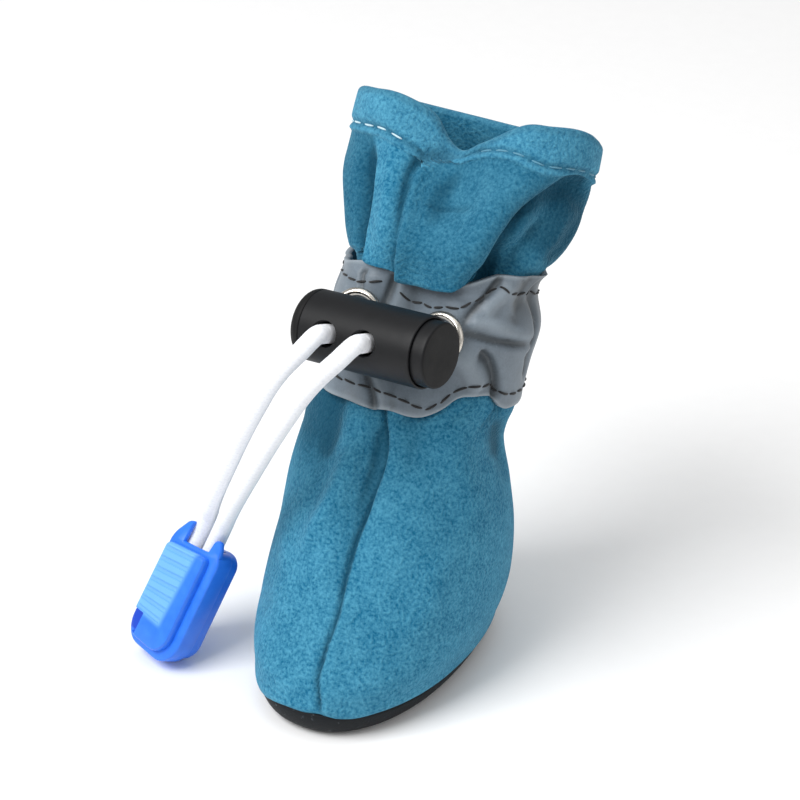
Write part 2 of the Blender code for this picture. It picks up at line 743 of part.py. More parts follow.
def strand_route(number):
    """A free strand's way from the lock's front mouth, out and down to the clip."""
    mouth = lock_hole(number, 0.0)
    leave = lock_hole(number, -STRAND_LEAD)
    out = (leave - mouth).normalized()
    side = -1 if number == 0 else 1
    top = clip_matrix() @ Vector((side * 0.5 * STRAND_SPREAD, 0.0, CLIP_LENGTH))
    end = clip_matrix() @ Vector((side * 0.5 * STRAND_SPREAD, 0.0, CLIP_LENGTH - STRAND_INSET))
    route = [leave]
    for bend in STRAND_BENDS:
        route.append(leave.lerp(top, bend.share) + bend.push * out + Vector((0.0, 0.0, bend.sag)))
    return [mouth, *smooth_route([*route, top, end], 1.3 * CORD_DIAMETER)]


def main():
    clear_scene()
    root = bpy.data.objects.new("boot", None)
    bpy.context.scene.collection.objects.link(root)
    pile = material("teal_pile", (0.03, 0.26, 0.38), 0.95)
    rubber = material("sole_rubber", (0.012, 0.014, 0.016), 0.75)
    fleece = material("lining_fleece", (0.03, 0.24, 0.34), 0.98)
    silver = material("reflective_grey", (0.24, 0.27, 0.31), 0.45)
    nickel = material("nickel", (0.72, 0.70, 0.66), 0.25, 1.0)
    elastic = material("white_elastic", (0.86, 0.87, 0.90), 0.80)
    black = material("black_plastic", (0.018, 0.018, 0.019), 0.50)
    blue = material("blue_plastic", (0.03, 0.22, 0.85), 0.35)
    build_outsole(root, rubber)
    build_insole(root, fleece)
    build_upper(root, pile)
    build_band(root, silver)
    build_eyelet("eyelet_left", -1, root, nickel)
    build_eyelet("eyelet_right", 1, root, nickel)
    build_lock_barrel(root, black)
    build_lock_button(root, black)
    build_drawcord(root, elastic)
    for number, name in enumerate(("cord_strand_left", "cord_strand_right")):
        build_cord(name, strand_route(number), root, elastic)
    build_clip(root, blue)


main()
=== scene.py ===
# %% [markdown]
# A small dog's boot is a soft bag of pile fabric on a thin rubber sole. A grey reflective band round the
# ankle is a tunnel for an elastic cord, and the cord leaves it through two eyelets, runs through a
# spring lock and ends in a blue plastic clip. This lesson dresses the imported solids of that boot: each
# cell makes one piece, in metres, in the frame of the solids.

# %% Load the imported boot
import math
from collections import namedtuple

import bmesh
import bpy
import numpy as np
from mathutils import Matrix, Vector


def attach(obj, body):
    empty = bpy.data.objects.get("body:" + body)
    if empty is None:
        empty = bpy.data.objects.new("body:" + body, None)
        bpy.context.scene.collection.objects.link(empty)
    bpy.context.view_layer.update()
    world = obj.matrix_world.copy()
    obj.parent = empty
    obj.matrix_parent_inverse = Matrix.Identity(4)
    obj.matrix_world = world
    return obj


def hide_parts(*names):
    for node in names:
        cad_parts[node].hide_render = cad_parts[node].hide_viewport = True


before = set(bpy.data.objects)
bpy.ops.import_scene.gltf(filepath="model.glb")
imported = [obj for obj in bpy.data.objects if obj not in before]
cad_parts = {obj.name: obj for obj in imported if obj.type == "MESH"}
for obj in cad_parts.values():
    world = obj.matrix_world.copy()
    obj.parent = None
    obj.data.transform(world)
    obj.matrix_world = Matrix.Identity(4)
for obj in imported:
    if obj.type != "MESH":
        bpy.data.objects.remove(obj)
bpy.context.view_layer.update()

MM = 0.001
print("nodes:", sorted(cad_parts))

# %% [markdown]
# The camera comes first. It stands in front of the toe, to the boot's left and above it, and a long lens
# keeps the proportions true. The boot seems to lean back because the camera looks down on it.

# %% Camera
def new_object(name, data):
    """An object of the scene that holds a mesh, a camera or a lamp."""
    made = bpy.data.objects.new(name, data)
    bpy.context.scene.collection.objects.link(made)
    return made


AZIMUTH, ELEVATION, ROLL = 28.3, 30.7, 1.3
AIM = Vector((0.00035, 0.00546, 0.0481))
DISTANCE, LENS, SENSOR = 0.5, 135.0, 36.0

turned = Matrix.Rotation(math.radians(AZIMUTH), 4, "Z")
tipped = Matrix.Rotation(math.radians(90.0 - ELEVATION), 4, "X")
rolled = Matrix.Rotation(math.radians(ROLL), 4, "Z")
view = bpy.data.cameras.new("camera")
view.lens, view.sensor_width, view.clip_start = LENS, SENSOR, 0.01
camera = new_object("camera", view)
back_off = Matrix.Translation((0, 0, DISTANCE))
camera.matrix_world = Matrix.Translation(AIM) @ turned @ tipped @ rolled @ back_off
bpy.context.scene.camera = camera
to_camera = (camera.matrix_world.translation - AIM).normalized()
to_right = camera.matrix_world.to_3x3() @ Vector((1, 0, 0))
print("camera at", [round(c, 3) for c in camera.matrix_world.translation])

# %% [markdown]
# The form of the boot is one skin that runs from the sole's rim (station 0) to the ankle (1) and on to
# the collar's edge (2). A turn goes round it in degrees: 0 is the front, 90 is the boot's +X side. The
# tables repeat the solids' own, so each dressed piece lies where its solid does.

# %% The boot's sizes
SOLE_LENGTH, SOLE_WIDTH = 0.0555, 0.0322
SOLE_THICKNESS, SOLE_WALL, SOLE_EDGE_ROLL = 0.0018, 0.0016, 0.0036
SIDE_RIM_HEIGHT, TOE_RIM_HEIGHT, TOE_RIM_SPREAD, RIM_BLEND = 0.0037, 0.0052, 55.0, 0.28
INSOLE_THICKNESS = 0.0015
UPPER_WALL, FOOT_HEIGHT = 0.0018, 0.0486
ANKLE_SETBACK, ANKLE_WIDTH, ANKLE_DEPTH = 0.0138, 0.0324, 0.0300
SHAFT_LENGTH, SHAFT_LEAN = 0.0442, 24.0
COLLAR_WIDTH, COLLAR_DEPTH, NOTCH_DEPTH, LIP_START = 0.0428, 0.0250, 0.0055, 1.5
FRONT_VALLEY, VALLEY_SPREAD, FOLD_DEPTH = 0.0050, 24.0, 0.0030
BAND_THICKNESS, TUNNEL_MIDDLE = 0.0008, 1.0 + 0.0118 / SHAFT_LENGTH
TUNNEL_SWELL, TUNNEL_DEPTH, TUNNEL_REACH = 0.0006, 0.0043, 0.0042 / SHAFT_LENGTH
CORD_DIAMETER, EYELET_TURN, GAP, NORMAL_REACH = 0.0032, 27.5, 0.0003, 6.0

SoleRow = namedtuple("SoleRow", "station width toe heel lean valley square")
ShaftRow = namedtuple("ShaftRow", "along widening deepening lean valley square")
LipRow = namedtuple("LipRow", "turn rise")
Fold = namedtuple("Fold", "low_turn high_turn spread depth start stop")


def table(kind, *rows):
    """Rows of numbers as a table whose columns have names."""
    return tuple(kind(*row) for row in rows)


FOOT = table(
    SoleRow,
    (0.00, 0.500, 0.500, 0.500, 0.00, 0.00, 2.20),
    (0.12, 0.560, 0.482, 0.508, 0.00, 0.00, 2.22),
    (0.28, 0.596, 0.414, 0.512, 0.00, 0.00, 2.22),
    (0.46, 0.595, 0.318, 0.504, 0.00, 0.10, 2.18),
    (0.64, 0.554, 0.222, 0.486, 0.05, 0.25, 2.10),
    (0.82, 0.488, 0.120, 0.476, 0.15, 0.40, 2.05),
)
SHAFT = table(
    ShaftRow,
    (0.00, 0.00, 0.00, 0.30, 0.50, 2.0),
    (0.25, 0.03, 0.00, 0.50, 1.30, 2.0),
    (0.44, 0.06, 0.15, 0.65, 0.80, 2.0),
    (0.54, 0.40, 0.25, 0.80, 0.50, 2.1),
    (0.70, 0.86, 0.45, 0.95, 0.50, 2.2),
    (0.86, 1.02, 0.75, 1.05, 0.80, 2.2),
    (1.00, 1.00, 1.00, 1.10, 1.20, 2.2),
)
LIP = table(
    LipRow,
    (-180, 0.00), (-130, 0.02), (-90, 0.10), (-60, 0.18), (-46, 0.20), (-34, 0.24), (-28, 0.22),
    (-22, 0.15), (-16, 0.04), (-10, -0.20), (-4, -0.72), (2, -1.00), (10, -0.67), (18, -0.36),
    (26, -0.04), (34, 0.21), (50, 0.35), (66, 0.43), (82, 0.38), (98, 0.18), (120, 0.05), (180, 0.00),
)
FOLDS = table(
    Fold,
    (42, 88, 14, 0.95, 1.42, 1.88),
    (22, 48, 18, -0.50, 1.40, 1.92),
    (80, 122, 16, -0.50, 1.40, 1.84),
    (-34, -42, 12, 0.80, 1.40, 1.90),
    (-14, -18, 9, -0.45, 1.42, 1.92),
    (176, 158, 16, 0.55, 1.40, 1.82),
    (-132, -146, 16, 0.50, 1.40, 1.82),
    (-4, -12, 12, -0.45, 0.45, 1.00),
    (8, 4, 7, 0.50, 0.45, 1.02),
)
print("tables:", len(FOOT), "foot rows,", len(SHAFT), "shaft rows,", len(FOLDS), "folds")

# %% The boot's form
def wrap(turns):
    """An angle brought between -180 and 180 degrees."""
    return (np.asarray(turns, float) + 180.0) % 360.0 - 180.0


def fading(value, start, stop):
    """0 before start, 1 after stop, and smooth between them."""
    share = np.clip((value - start) / (stop - start), 0.0, 1.0)
    return share * share * (3.0 - 2.0 * share)


def bell(angle, spread):
    """A smooth hump over an angle in degrees."""
    return np.exp(-((wrap(angle) / spread) ** 2))


def smooth(places, values, at):
    """A table's column read anywhere, on a smooth curve through its rows."""
    places, values, at = (np.asarray(part, float) for part in (places, values, at))
    slopes = np.gradient(values, places)
    k = np.clip(np.searchsorted(places, at) - 1, 0, len(places) - 2)
    span = places[k + 1] - places[k]
    t = (at - places[k]) / span
    rise = values[k] * (2 * t**3 - 3 * t**2 + 1) + values[k + 1] * (3 * t**2 - 2 * t**3)
    return rise + span * (slopes[k] * (t**3 - 2 * t**2 + t) + slopes[k + 1] * (t**3 - t**2))


def foot_columns(row):
    """A foot row as setback, height, lean, half width, half depth, valley and squareness."""
    return (0.5 * (row.heel - row.toe) * SOLE_LENGTH, row.station * FOOT_HEIGHT,
            row.lean * SHAFT_LEAN, row.width * SOLE_WIDTH,
            0.5 * (row.heel + row.toe) * SOLE_LENGTH, row.valley * FRONT_VALLEY, row.square)


def shaft_columns(row):
    """A shaft row as the same seven columns, on the leaning axis."""
    along, lean = row.along * SHAFT_LENGTH, math.radians(SHAFT_LEAN)
    return (ANKLE_SETBACK + along * math.sin(lean), FOOT_HEIGHT + along * math.cos(lean),
            row.lean * SHAFT_LEAN, 0.5 * (ANKLE_WIDTH + row.widening * (COLLAR_WIDTH - ANKLE_WIDTH)),
            0.5 * (ANKLE_DEPTH + row.deepening * (COLLAR_DEPTH - ANKLE_DEPTH)),
            row.valley * FRONT_VALLEY, row.square)


STATIONS = [row.station for row in FOOT] + [1.0 + row.along for row in SHAFT]
COLUMNS = np.array([foot_columns(row) for row in FOOT] + [shaft_columns(row) for row in SHAFT]).T


def rim_height(turns):
    """The height of the sole's rim, which climbs over the toe."""
    return SIDE_RIM_HEIGHT + (TOE_RIM_HEIGHT - SIDE_RIM_HEIGHT) * bell(turns, TOE_RIM_SPREAD)


def lip_rise(turns):
    """How far the collar's edge rises above its plane."""
    return NOTCH_DEPTH * smooth([row.turn for row in LIP], [row.rise for row in LIP], wrap(turns))


def outline(section, stations, turns):
    """The boot's outline in the plane of its section, with the front valley and the big folds."""
    _, _, _, half_width, half_depth, valley, square = section
    angles = np.radians(turns)
    x = half_width * np.sign(np.sin(angles)) * np.abs(np.sin(angles)) ** (2.0 / square)
    y = -half_depth * np.sign(np.cos(angles)) * np.abs(np.cos(angles)) ** (2.0 / square)
    y = y + valley * bell(turns, VALLEY_SPREAD)
    sink = np.zeros_like(x)
    for fold in FOLDS:
        share = np.clip((stations - fold.start) / (fold.stop - fold.start), 0.0, 1.0)
        middle = fold.low_turn + share * (fold.high_turn - fold.low_turn)
        sink += fold.depth * FOLD_DEPTH * np.sin(math.pi * share) ** 0.7 * bell(turns - middle, fold.spread)
    reach = np.hypot(x, y)
    return np.stack([x * (1 - sink / reach), y * (1 - sink / reach)], axis=-1)


def skin(stations, turns, offset=0.0):
    """Points of the boot's form, moved outwards by offset."""
    given = (np.asarray(value, float) for value in (stations, turns, offset))
    stations, turns, offset = np.broadcast_arrays(*given)
    section = [smooth(STATIONS, column, stations) for column in COLUMNS]
    flat = outline(section, stations, turns)
    after = outline(section, stations, turns + NORMAL_REACH)
    along = after - outline(section, stations, turns - NORMAL_REACH)
    normal = np.stack([along[..., 1], -along[..., 0]], axis=-1)
    normal /= np.linalg.norm(normal, axis=-1, keepdims=True)
    outward = normal + flat / np.linalg.norm(flat, axis=-1, keepdims=True)
    outward /= np.linalg.norm(outward, axis=-1, keepdims=True)
    flat = flat + outward * offset[..., None]
    lift = lip_rise(turns) * fading(stations, LIP_START, 2.0)
    lean = np.radians(section[2])
    rim = rim_height(turns) + GAP
    low = rim + (RIM_BLEND * FOOT_HEIGHT - rim) * stations / RIM_BLEND
    height = np.where(stations < RIM_BLEND, low, section[1])
    y = section[0] + flat[..., 1] * np.cos(lean) + lift * np.sin(lean)
    z = height - flat[..., 1] * np.sin(lean) + lift * np.cos(lean)
    return np.stack([flat[..., 0], y, z], axis=-1)


print("collar front at", np.round(skin(2.0, 0.0), 4))

# %% [markdown]
# Meshes are made from rows of points. One helper joins rows into quads, one turns points and faces into
# a named piece, and one draws a tube along a line, which serves cords and threads alike.

# %% Mesh helpers
def loft(rows, columns, start=0, closed_rows=False):
    """Quads between rows of points whose columns go round."""
    count = rows if closed_rows else rows - 1
    ring = np.arange(count)[:, None] * columns
    above = (ring + columns) % (rows * columns)
    here = np.arange(columns)[None, :]
    there = (here + 1) % columns
    quads = np.stack([ring + here, ring + there, above + there, above + here], axis=-1)
    return (quads.reshape(-1, 4) + start).tolist()


def capped(rings, sides, start=0):
    """Faces of rings of points that are closed at both ends."""
    last = (len(rings) - 1) * sides + start
    caps = [list(range(start, start + sides))[::-1], list(range(last, last + sides))]
    return loft(len(rings), sides, start) + caps


def grid_normals(points):
    """The outward direction at each point of rows that climb and go round anticlockwise."""
    around = np.roll(points, -1, axis=1) - np.roll(points, 1, axis=1)
    up = np.gradient(points, axis=0)
    normal = np.cross(around, up)
    return normal / np.maximum(np.linalg.norm(normal, axis=-1, keepdims=True), 1e-12)


def new_mesh(name, points, faces):
    """A smooth mesh whose faces all look outwards."""
    mesh = bpy.data.meshes.new(name)
    mesh.from_pydata(np.asarray(points, float).reshape(-1, 3).tolist(), [], faces)
    shaped = bmesh.new()
    shaped.from_mesh(mesh)
    bmesh.ops.recalc_face_normals(shaped, faces=shaped.faces)
    shaped.to_mesh(mesh)
    shaped.free()
    mesh.shade_smooth()
    return mesh


def add_piece(name, mesh, finish, body, stands_for=(), matrix=None):
    """Put a mesh in the scene as a piece that rides on a body."""
    mesh.materials.clear()
    mesh.materials.append(finish.material)
    piece = new_object(name, mesh)
    if matrix is not None:
        piece.matrix_world = matrix
    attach(piece, body)
    if stands_for:
        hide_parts(*stands_for)
    print(f"{name}: {len(mesh.vertices)} points, {len(mesh.polygons)} faces")
    return piece


def resample(points, step):
    """Points a step apart on a smooth curve through a line's own points."""
    points = np.asarray([tuple(p) for p in points], float)
    marks = np.concatenate([[0.0], np.cumsum(np.linalg.norm(np.diff(points, axis=0), axis=1))])
    samples = np.linspace(0.0, marks[-1], max(2, int(round(marks[-1] / step))) + 1)
    return np.stack([smooth(marks, points[:, i], samples) for i in range(3)], axis=1)


def tube(points, radii, sides, start=0):
    """Rings of points round a line, with their faces. Radii are a number or rings x sides."""
    points = np.asarray(points, float)
    tangents = np.gradient(points, axis=0)
    tangents /= np.linalg.norm(tangents, axis=1, keepdims=True)
    side = np.cross(tangents[0], [0.31, 0.17, 0.93])
    angles = 2.0 * math.pi * np.arange(sides) / sides
    radii = np.broadcast_to(np.asarray(radii, float), (len(points), sides))
    rings = []
    for point, tangent, reach in zip(points, tangents, radii):
        side = side - tangent * np.dot(side, tangent)
        side /= np.linalg.norm(side)
        other = np.cross(tangent, side)
        ring = np.cos(angles)[:, None] * side + np.sin(angles)[:, None] * other
        rings.append(point + reach[:, None] * ring)
    return np.array(rings), capped(rings, sides, start)


def revolve(profile, sides, frame_matrix=None):
    """A closed profile of (along, radius) rows, turned round the X axis."""
    profile = np.asarray(profile, float)
    angles = 2.0 * math.pi * np.arange(sides) / sides
    ring = np.stack([np.zeros(sides), np.cos(angles), np.sin(angles)], axis=-1)
    points = profile[:, None, 1:] * ring + profile[:, None, :1] * np.array([1.0, 0.0, 0.0])
    if frame_matrix is not None:
        points = points @ np.array(frame_matrix.to_3x3()).T + np.array(frame_matrix.translation)
    return points


print("three rows of four points make", len(loft(3, 4)), "quads")

# %% [markdown]
# A finish is a Principled shader with nodes that vary it over the surface. A node tree is hard to read
# when it is written link by link, so one small class wraps a socket: adding or multiplying two wraps
# adds the Math node. Colours never pass through Math nodes, which would turn them grey.

# %% Shader helpers
def srgb(red, green, blue):
    """A colour as seen on a screen, 0 to 255, as the linear colour that shaders use."""
    parts = [part / 255.0 for part in (red, green, blue)]
    return (*(p / 12.92 if p <= 0.04045 else ((p + 0.055) / 1.055) ** 2.4 for p in parts), 1.0)


class Wire:
    """One value of a shader, which can be calculated with."""

    def __init__(self, finish, socket):
        self.finish, self.socket = finish, socket

    def math(self, operation, *values):
        return self.finish.node("ShaderNodeMath", {"operation": operation}, dict(enumerate(values)))

    def __add__(self, other):
        return self.math("ADD", self, other)

    def __sub__(self, other):
        return self.math("SUBTRACT", self, other)

    def __rsub__(self, other):
        return self.math("SUBTRACT", other, self)

    def __mul__(self, other):
        return self.math("MULTIPLY", self, other)

    def above(self, start, stop):
        """0 where the value is under start, 1 where it is over stop, and smooth between them."""
        settings = {"interpolation_type": "SMOOTHSTEP"}
        inputs = {0: self, 1: start, 2: stop, 3: 0.0, 4: 1.0}
        return self.finish.node("ShaderNodeMapRange", settings, inputs)

    def below(self, start, stop):
        """1 where the value is under start, 0 where it is over stop, and smooth between them."""
        return 1 - self.above(start, stop)


class Finish:
    """A material with one Principled shader, whose nodes are added by a single method."""

    def __init__(self, name, **constants):
        self.material = bpy.data.materials.new(name)
        self.material.use_nodes = True
        self.tree = self.material.node_tree
        self.shader = self.tree.nodes["Principled BSDF"]
        for socket, value in constants.items():
            self.shader.inputs[socket.replace("_", " ")].default_value = value
        self.place = self.node("ShaderNodeTexCoord", output="Object")

    def node(self, kind, settings=None, inputs=None, output=0):
        made = self.tree.nodes.new(kind)
        for name, value in (settings or {}).items():
            if name == "stops":
                for stop, (position, colour) in zip(made.color_ramp.elements, value):
                    stop.position, stop.color = position, colour
            else:
                setattr(made, name, value)
        for name, value in (inputs or {}).items():
            self.feed(made.inputs[name], value)
        return Wire(self, made.outputs[output])

    def feed(self, socket, value):
        if isinstance(value, Wire):
            self.tree.links.new(value.socket, socket)
        else:
            socket.default_value = value

    def noise(self, size, detail=2.0, roughness=0.5):
        """Cloudy noise whose features are about size metres across."""
        inputs = {"Vector": self.place, "Scale": 1.0 / size, "Detail": detail, "Roughness": roughness}
        return self.node("ShaderNodeTexNoise", None, inputs)

    def axis(self, name):
        """The place along one axis of the piece's own frame."""
        return self.node("ShaderNodeSeparateXYZ", None, {"Vector": self.place}, output=name)

    def blend(self, share, first, second):
        """A colour between two others."""
        return self.node("ShaderNodeMix", {"data_type": "RGBA"}, {0: share, 6: first, 7: second}, output=2)

    def mark(self, name):
        """A value that the mesh carries at its points."""
        return self.node("ShaderNodeAttribute", {"attribute_name": name}, output="Fac")

    def use(self, **values):
        for name, value in values.items():
            self.feed(self.shader.inputs[name.replace("_", " ")], value)

    def relief(self, height, depth, strength=1.0):
        """Fine relief, as a bump, depth metres from low to high. It comes last in a finish."""
        inputs = {"Strength": strength, "Distance": depth, "Height": height}
        self.use(Normal=self.node("ShaderNodeBump", None, inputs))
        print(f"{self.material.name}: {len(self.tree.nodes)} nodes")


def set_mark(mesh, name, values):
    """Store a value at each point of a mesh for its finish to read."""
    layer = mesh.attributes.new(name, "FLOAT", "POINT")
    layer.data.foreach_set("value", np.asarray(values, np.float32).ravel())


print("a middle grey is", round(srgb(128, 128, 128)[0], 3), "of white in linear light")

# %% [markdown]
# The boot is cut from a short, dense pile like suede. Its tips scatter light, so the cloth looks pale where
# it faces the light flat and deep in its folds. Two sizes of noise stand for the tufts and for the way that
# they lie, and sheen stands for the tips. The mesh marks painted shade in its folds and hollows, and a pale
# tone for the pressed hem with a painted highlight on the collar's edge.

# %% Pile fabric
def pile_finish(name, low, high, deep, pale):
    """Short pile in four tones: between tufts, at their tips, painted shade and a pale hem with painted
    highlight.
    """
    finish = Finish(name, Roughness=0.92, Specular_IOR_Level=0.15, Sheen_Weight=0.35,
                    Sheen_Roughness=0.45, Sheen_Tint=srgb(150, 205, 225))
    tufts = finish.noise(0.55 * MM, 3.0, 0.62)
    nap = finish.noise(3.2 * MM, 2.0, 0.5)
    lay = finish.noise(11.0 * MM, 1.0, 0.5)
    share = (tufts - 0.5) * 2.5 + (nap - 0.5) * 0.7 + (lay - 0.5) * 0.4 + 0.5
    colour = finish.blend(share, low, high)
    # Painted shade: a mark darkens the pile towards the deep tone in folds, hollows and shaded parts.
    colour = finish.blend(finish.mark("painted_shade") * 0.85, colour, deep)
    # A pale tone for the pressed hem, and a painted highlight on the collar's rounded edge.
    colour = finish.blend(finish.mark("pressed_and_highlight") * 0.05, colour, pale)
    finish.use(Base_Color=colour)
    finish.relief(tufts * 0.7 + nap * 0.3, 0.55 * MM, 0.9)
    return finish


TEAL = pile_finish("teal pile", srgb(15, 97, 133), srgb(78, 152, 182), srgb(6, 58, 80),
                   srgb(140, 196, 216))

# %% [markdown]
# Creases could come from a cloth simulation, but these ones are known: the maker's seam, the fold that
# the cord draws in, the roll of cloth over the band. So each is laid along a given path on the boot,
# as a soft trough or ridge with its own width on each side. The seam is a step, where the right panel
# stands up and the left one sinks under it.

# %% Crease helpers
# Depths, heights and widths are in millimetres, and a path is rows of a station and a turn. The scales
# say how many millimetres of cloth there are to a degree of turn and to a station.
Crease = namedtuple("Crease", "depth left right fade_in fade_out path")
Overlap = namedtuple("Overlap", "height sink left right fade_in fade_out path")
TURN_SCALE, STATION_SCALE = 0.33, 46.0
SEAM_SHARPNESS = 0.13


def to_path(path, stations, turns, reach):
    """Which points are near a path, how far they are from it and the share along it.

    The distance is over 0 on the +X side of a path that runs down the front.
    """
    path = np.array(path, float)
    marks = np.linspace(0, len(path) - 1, 14 * len(path))
    line_v = smooth(range(len(path)), path[:, 0], marks) * STATION_SCALE
    line_turn = smooth(range(len(path)), path[:, 1], marks)
    line_u, middle = line_turn * TURN_SCALE, line_turn.mean()
    u = (wrap(turns - middle) + middle) * TURN_SCALE
    v = stations * STATION_SCALE
    near = (u > line_u.min() - reach) & (u < line_u.max() + reach) & (v > line_v.min() - reach)
    near &= v < line_v.max() + reach
    du, dv = u[near][:, None] - line_u, v[near][:, None] - line_v
    closest = np.argmin(du**2 + dv**2, axis=1)
    pick = np.arange(len(closest))
    du, dv = du[pick, closest], dv[pick, closest]
    ahead_u, ahead_v = np.gradient(line_u)[closest], np.gradient(line_v)[closest]
    side = np.where(ahead_u * dv - ahead_v * du > 0, 1.0, -1.0)
    return near, side * np.hypot(du, dv), closest / (len(marks) - 1.0)


def taper(share, fade_in, fade_out):
    """A crease's strength along it, which grows from one end and dies away at the other."""
    return fading(share, -1e-6, max(fade_in, 1e-3)) * fading(1 - share, -1e-6, max(fade_out, 1e-3))


def crease_relief(crease, stations, turns):
    """How far one crease moves the cloth, in millimetres."""
    relief = np.zeros_like(stations)
    near, distance, share = to_path(crease.path, stations, turns, 2.6 * max(crease.left, crease.right))
    width = np.where(distance > 0, crease.right, crease.left)
    strength = crease.depth * taper(share, crease.fade_in, crease.fade_out)
    relief[near] = strength * np.exp(-((distance / width) ** 2))
    return relief


def overlap_relief(overlap, stations, turns):
    """A seam where the panel on the right lies over the one on the left, in millimetres."""
    relief = np.zeros_like(stations)
    near, distance, share = to_path(overlap.path, stations, turns, 4.0 * max(overlap.left, overlap.right))
    over = overlap.height * np.exp(-((distance / overlap.right) ** 2))
    under = -overlap.sink * np.exp(-((distance / overlap.left) ** 2))
    step = 1.0 / (1.0 + np.exp(-np.clip(distance / SEAM_SHARPNESS, -30, 30)))
    strength = taper(share, overlap.fade_in, overlap.fade_out)
    relief[near] = strength * (over * step + under * (1 - step))
    return relief


def relief_of(creases, stations, turns):
    """All the creases together, in metres."""
    return MM * sum(crease_relief(crease, stations, turns) for crease in creases)


def hollows(points, across, along, start, full):
    """Depth below the neighbours, for painted shade: 0 where a sheet of points stands out and 1 where it is
    deep.
    """
    level = sum(np.roll(points, step, axis=1) for step in range(-across, across + 1)) / (2 * across + 1)
    padded = np.concatenate([level[:1]] * along + [level] + [level[-1:]] * along)
    level = sum(padded[step:step + len(points)] for step in range(2 * along + 1)) / (2 * along + 1)
    depth = np.sum((level - points) * grid_normals(points), axis=-1)
    return fading(depth, start, full)


print("a millimetre is", round(1 / TURN_SCALE, 1), "degrees of turn")

# %% Creases of the upper
SHAFT_SEAM = ((1.995, 3), (1.94, 0), (1.895, -4), (1.795, -9), (1.68, -9), (1.575, -8), (1.42, -9))
FOOT_SEAM = ((1.0, -1), (0.965, 2), (0.93, 5), (0.89, 8.5), (0.825, 11), (0.69, 8), (0.605, 6),
             (0.495, 6), (0.41, 7), (0.305, 6), (0.19, 7), (0.095, 11), (0.02, 13))
SEAMS = table(
    Overlap,
    (1.0, 0.85, 0.95, 3.2, 0.2, 0.0, SHAFT_SEAM),
    (0.45, 0.6, 0.75, 3.0, 0.0, 0.03, FOOT_SEAM),
)
SEAM_STITCHES = Crease(1.0, 0.42, 0.3, 0.1, 0.0, FOOT_SEAM)
UPPER_CREASES = table(
    Crease,
    (-1.3, 2.4, 0.7, 0.25, 0.05, ((1.84, -45), (1.695, -39), (1.605, -38), (1.5, -39), (1.41, -38))),
    (0.9, 0.9, 2.2, 0.25, 0.1, ((1.84, -39), (1.695, -33), (1.605, -32), (1.5, -33), (1.43, -32))),
    (-2.6, 2.1, 1.9, 0.3, 0.0,
     ((1.86, 107), (1.80, 78), (1.715, 50), (1.635, 45), (1.51, 45), (1.43, 38))),
    (0.5, 1.8, 1.8, 0.2, 0.15, ((1.77, 111), (1.70, 90), (1.60, 83), (1.55, 72), (1.50, 62))),
    (0.8, 2.6, 2.4, 0.3, 0.3, ((1.84, 50), (1.74, 30), (1.62, 26), (1.50, 26))),
    (-0.35, 1.8, 0.8, 0.0, 0.5,
     ((0.99, -5), (0.93, 0), (0.825, 4), (0.71, 2), (0.585, 2), (0.445, 4), (0.33, 5))),
    (1.5, 2.2, 1.9, 0.2, 0.4, ((0.9, -8), (0.78, -10), (0.69, -12), (0.59, -18), (0.49, -20))),
    (-1.4, 4.6, 3.4, 0.0, 0.7, ((1.0, -32), (0.88, -33), (0.79, -38), (0.68, -42))),
    (-0.7, 3.6, 3.6, 0.0, 0.8, ((1.0, 19), (0.905, 24), (0.84, 34), (0.74, 42))),
    (0.7, 3.0, 3.0, 0.1, 0.5, ((1.0, 46), (0.88, 58), (0.705, 74), (0.58, 84))),
    (-1.0, 2.6, 2.8, 0.0, 0.5, ((1.0, 72), (0.93, 84), (0.77, 106), (0.58, 108))),
    (-0.9, 2.8, 2.8, 0.3, 0.0, ((1.78, -104), (1.62, -88), (1.50, -78), (1.42, -74))),
    (0.7, 2.6, 2.6, 0.3, 0.1, ((1.82, -80), (1.66, -66), (1.52, -60), (1.44, -58))),
    (-0.9, 2.8, 2.6, 0.3, 0.0, ((1.80, 150), (1.66, 140), (1.52, 134), (1.42, 132))),
    (2.3, 6.5, 6.5, 0.25, 0.5, ((1.0, -72), (0.90, -72), (0.80, -70), (0.64, -68), (0.48, -66))),
    (-0.8, 2.8, 2.8, 0.0, 0.5, ((1.0, -104), (0.86, -108), (0.70, -104))),
    (-2.0, 6.0, 6.0, 0.3, 0.2, ((1.86, 104), (1.74, 100), (1.62, 92), (1.50, 84))),
    (-0.8, 2.8, 2.8, 0.0, 0.5, ((1.0, 140), (0.88, 146), (0.74, 142))),
    (-0.7, 3.0, 3.0, 0.0, 0.5, ((1.0, -136), (0.88, -142), (0.74, -140))),
    (0.5, 3.4, 3.4, 0.3, 0.3, ((0.62, 50), (0.46, 52), (0.3, 46))),
    (-0.45, 4.0, 4.0, 0.3, 0.3, ((0.52, -38), (0.38, -44), (0.24, -40))),
)
print(len(UPPER_CREASES), "creases on the upper")

# %% [markdown]
# The upper is one sheet of points. It climbs the foot, dips under the band, rolls out over the band's
# top edge as a soft lip, climbs the shaft, and turns in at the collar as a stitched hem. Rows of points
# follow those lines, so that the lip is never cut across by a row. The hem has a line of its own on each
# side of the seam, because the right panel lies over the left one.

# %% Tables of the upper
UPPER_TURNS = 296
FOOT_ROWS, WAIST_ROWS, HIDDEN_ROWS, ROLL_ROWS, SHAFT_ROWS, HEM_ROWS = 84, 22, 8, 44, 10, 34
EDGE_ROWS, INNER_ROWS = 11, 54
CollarRow = namedtuple("CollarRow", "turn station")
SkirtRow = namedtuple("SkirtRow", "turn drop")
RollRow = namedtuple("RollRow", "turn bottom out lip")
ProfileRow = namedtuple("ProfileRow", "rise fixed share")

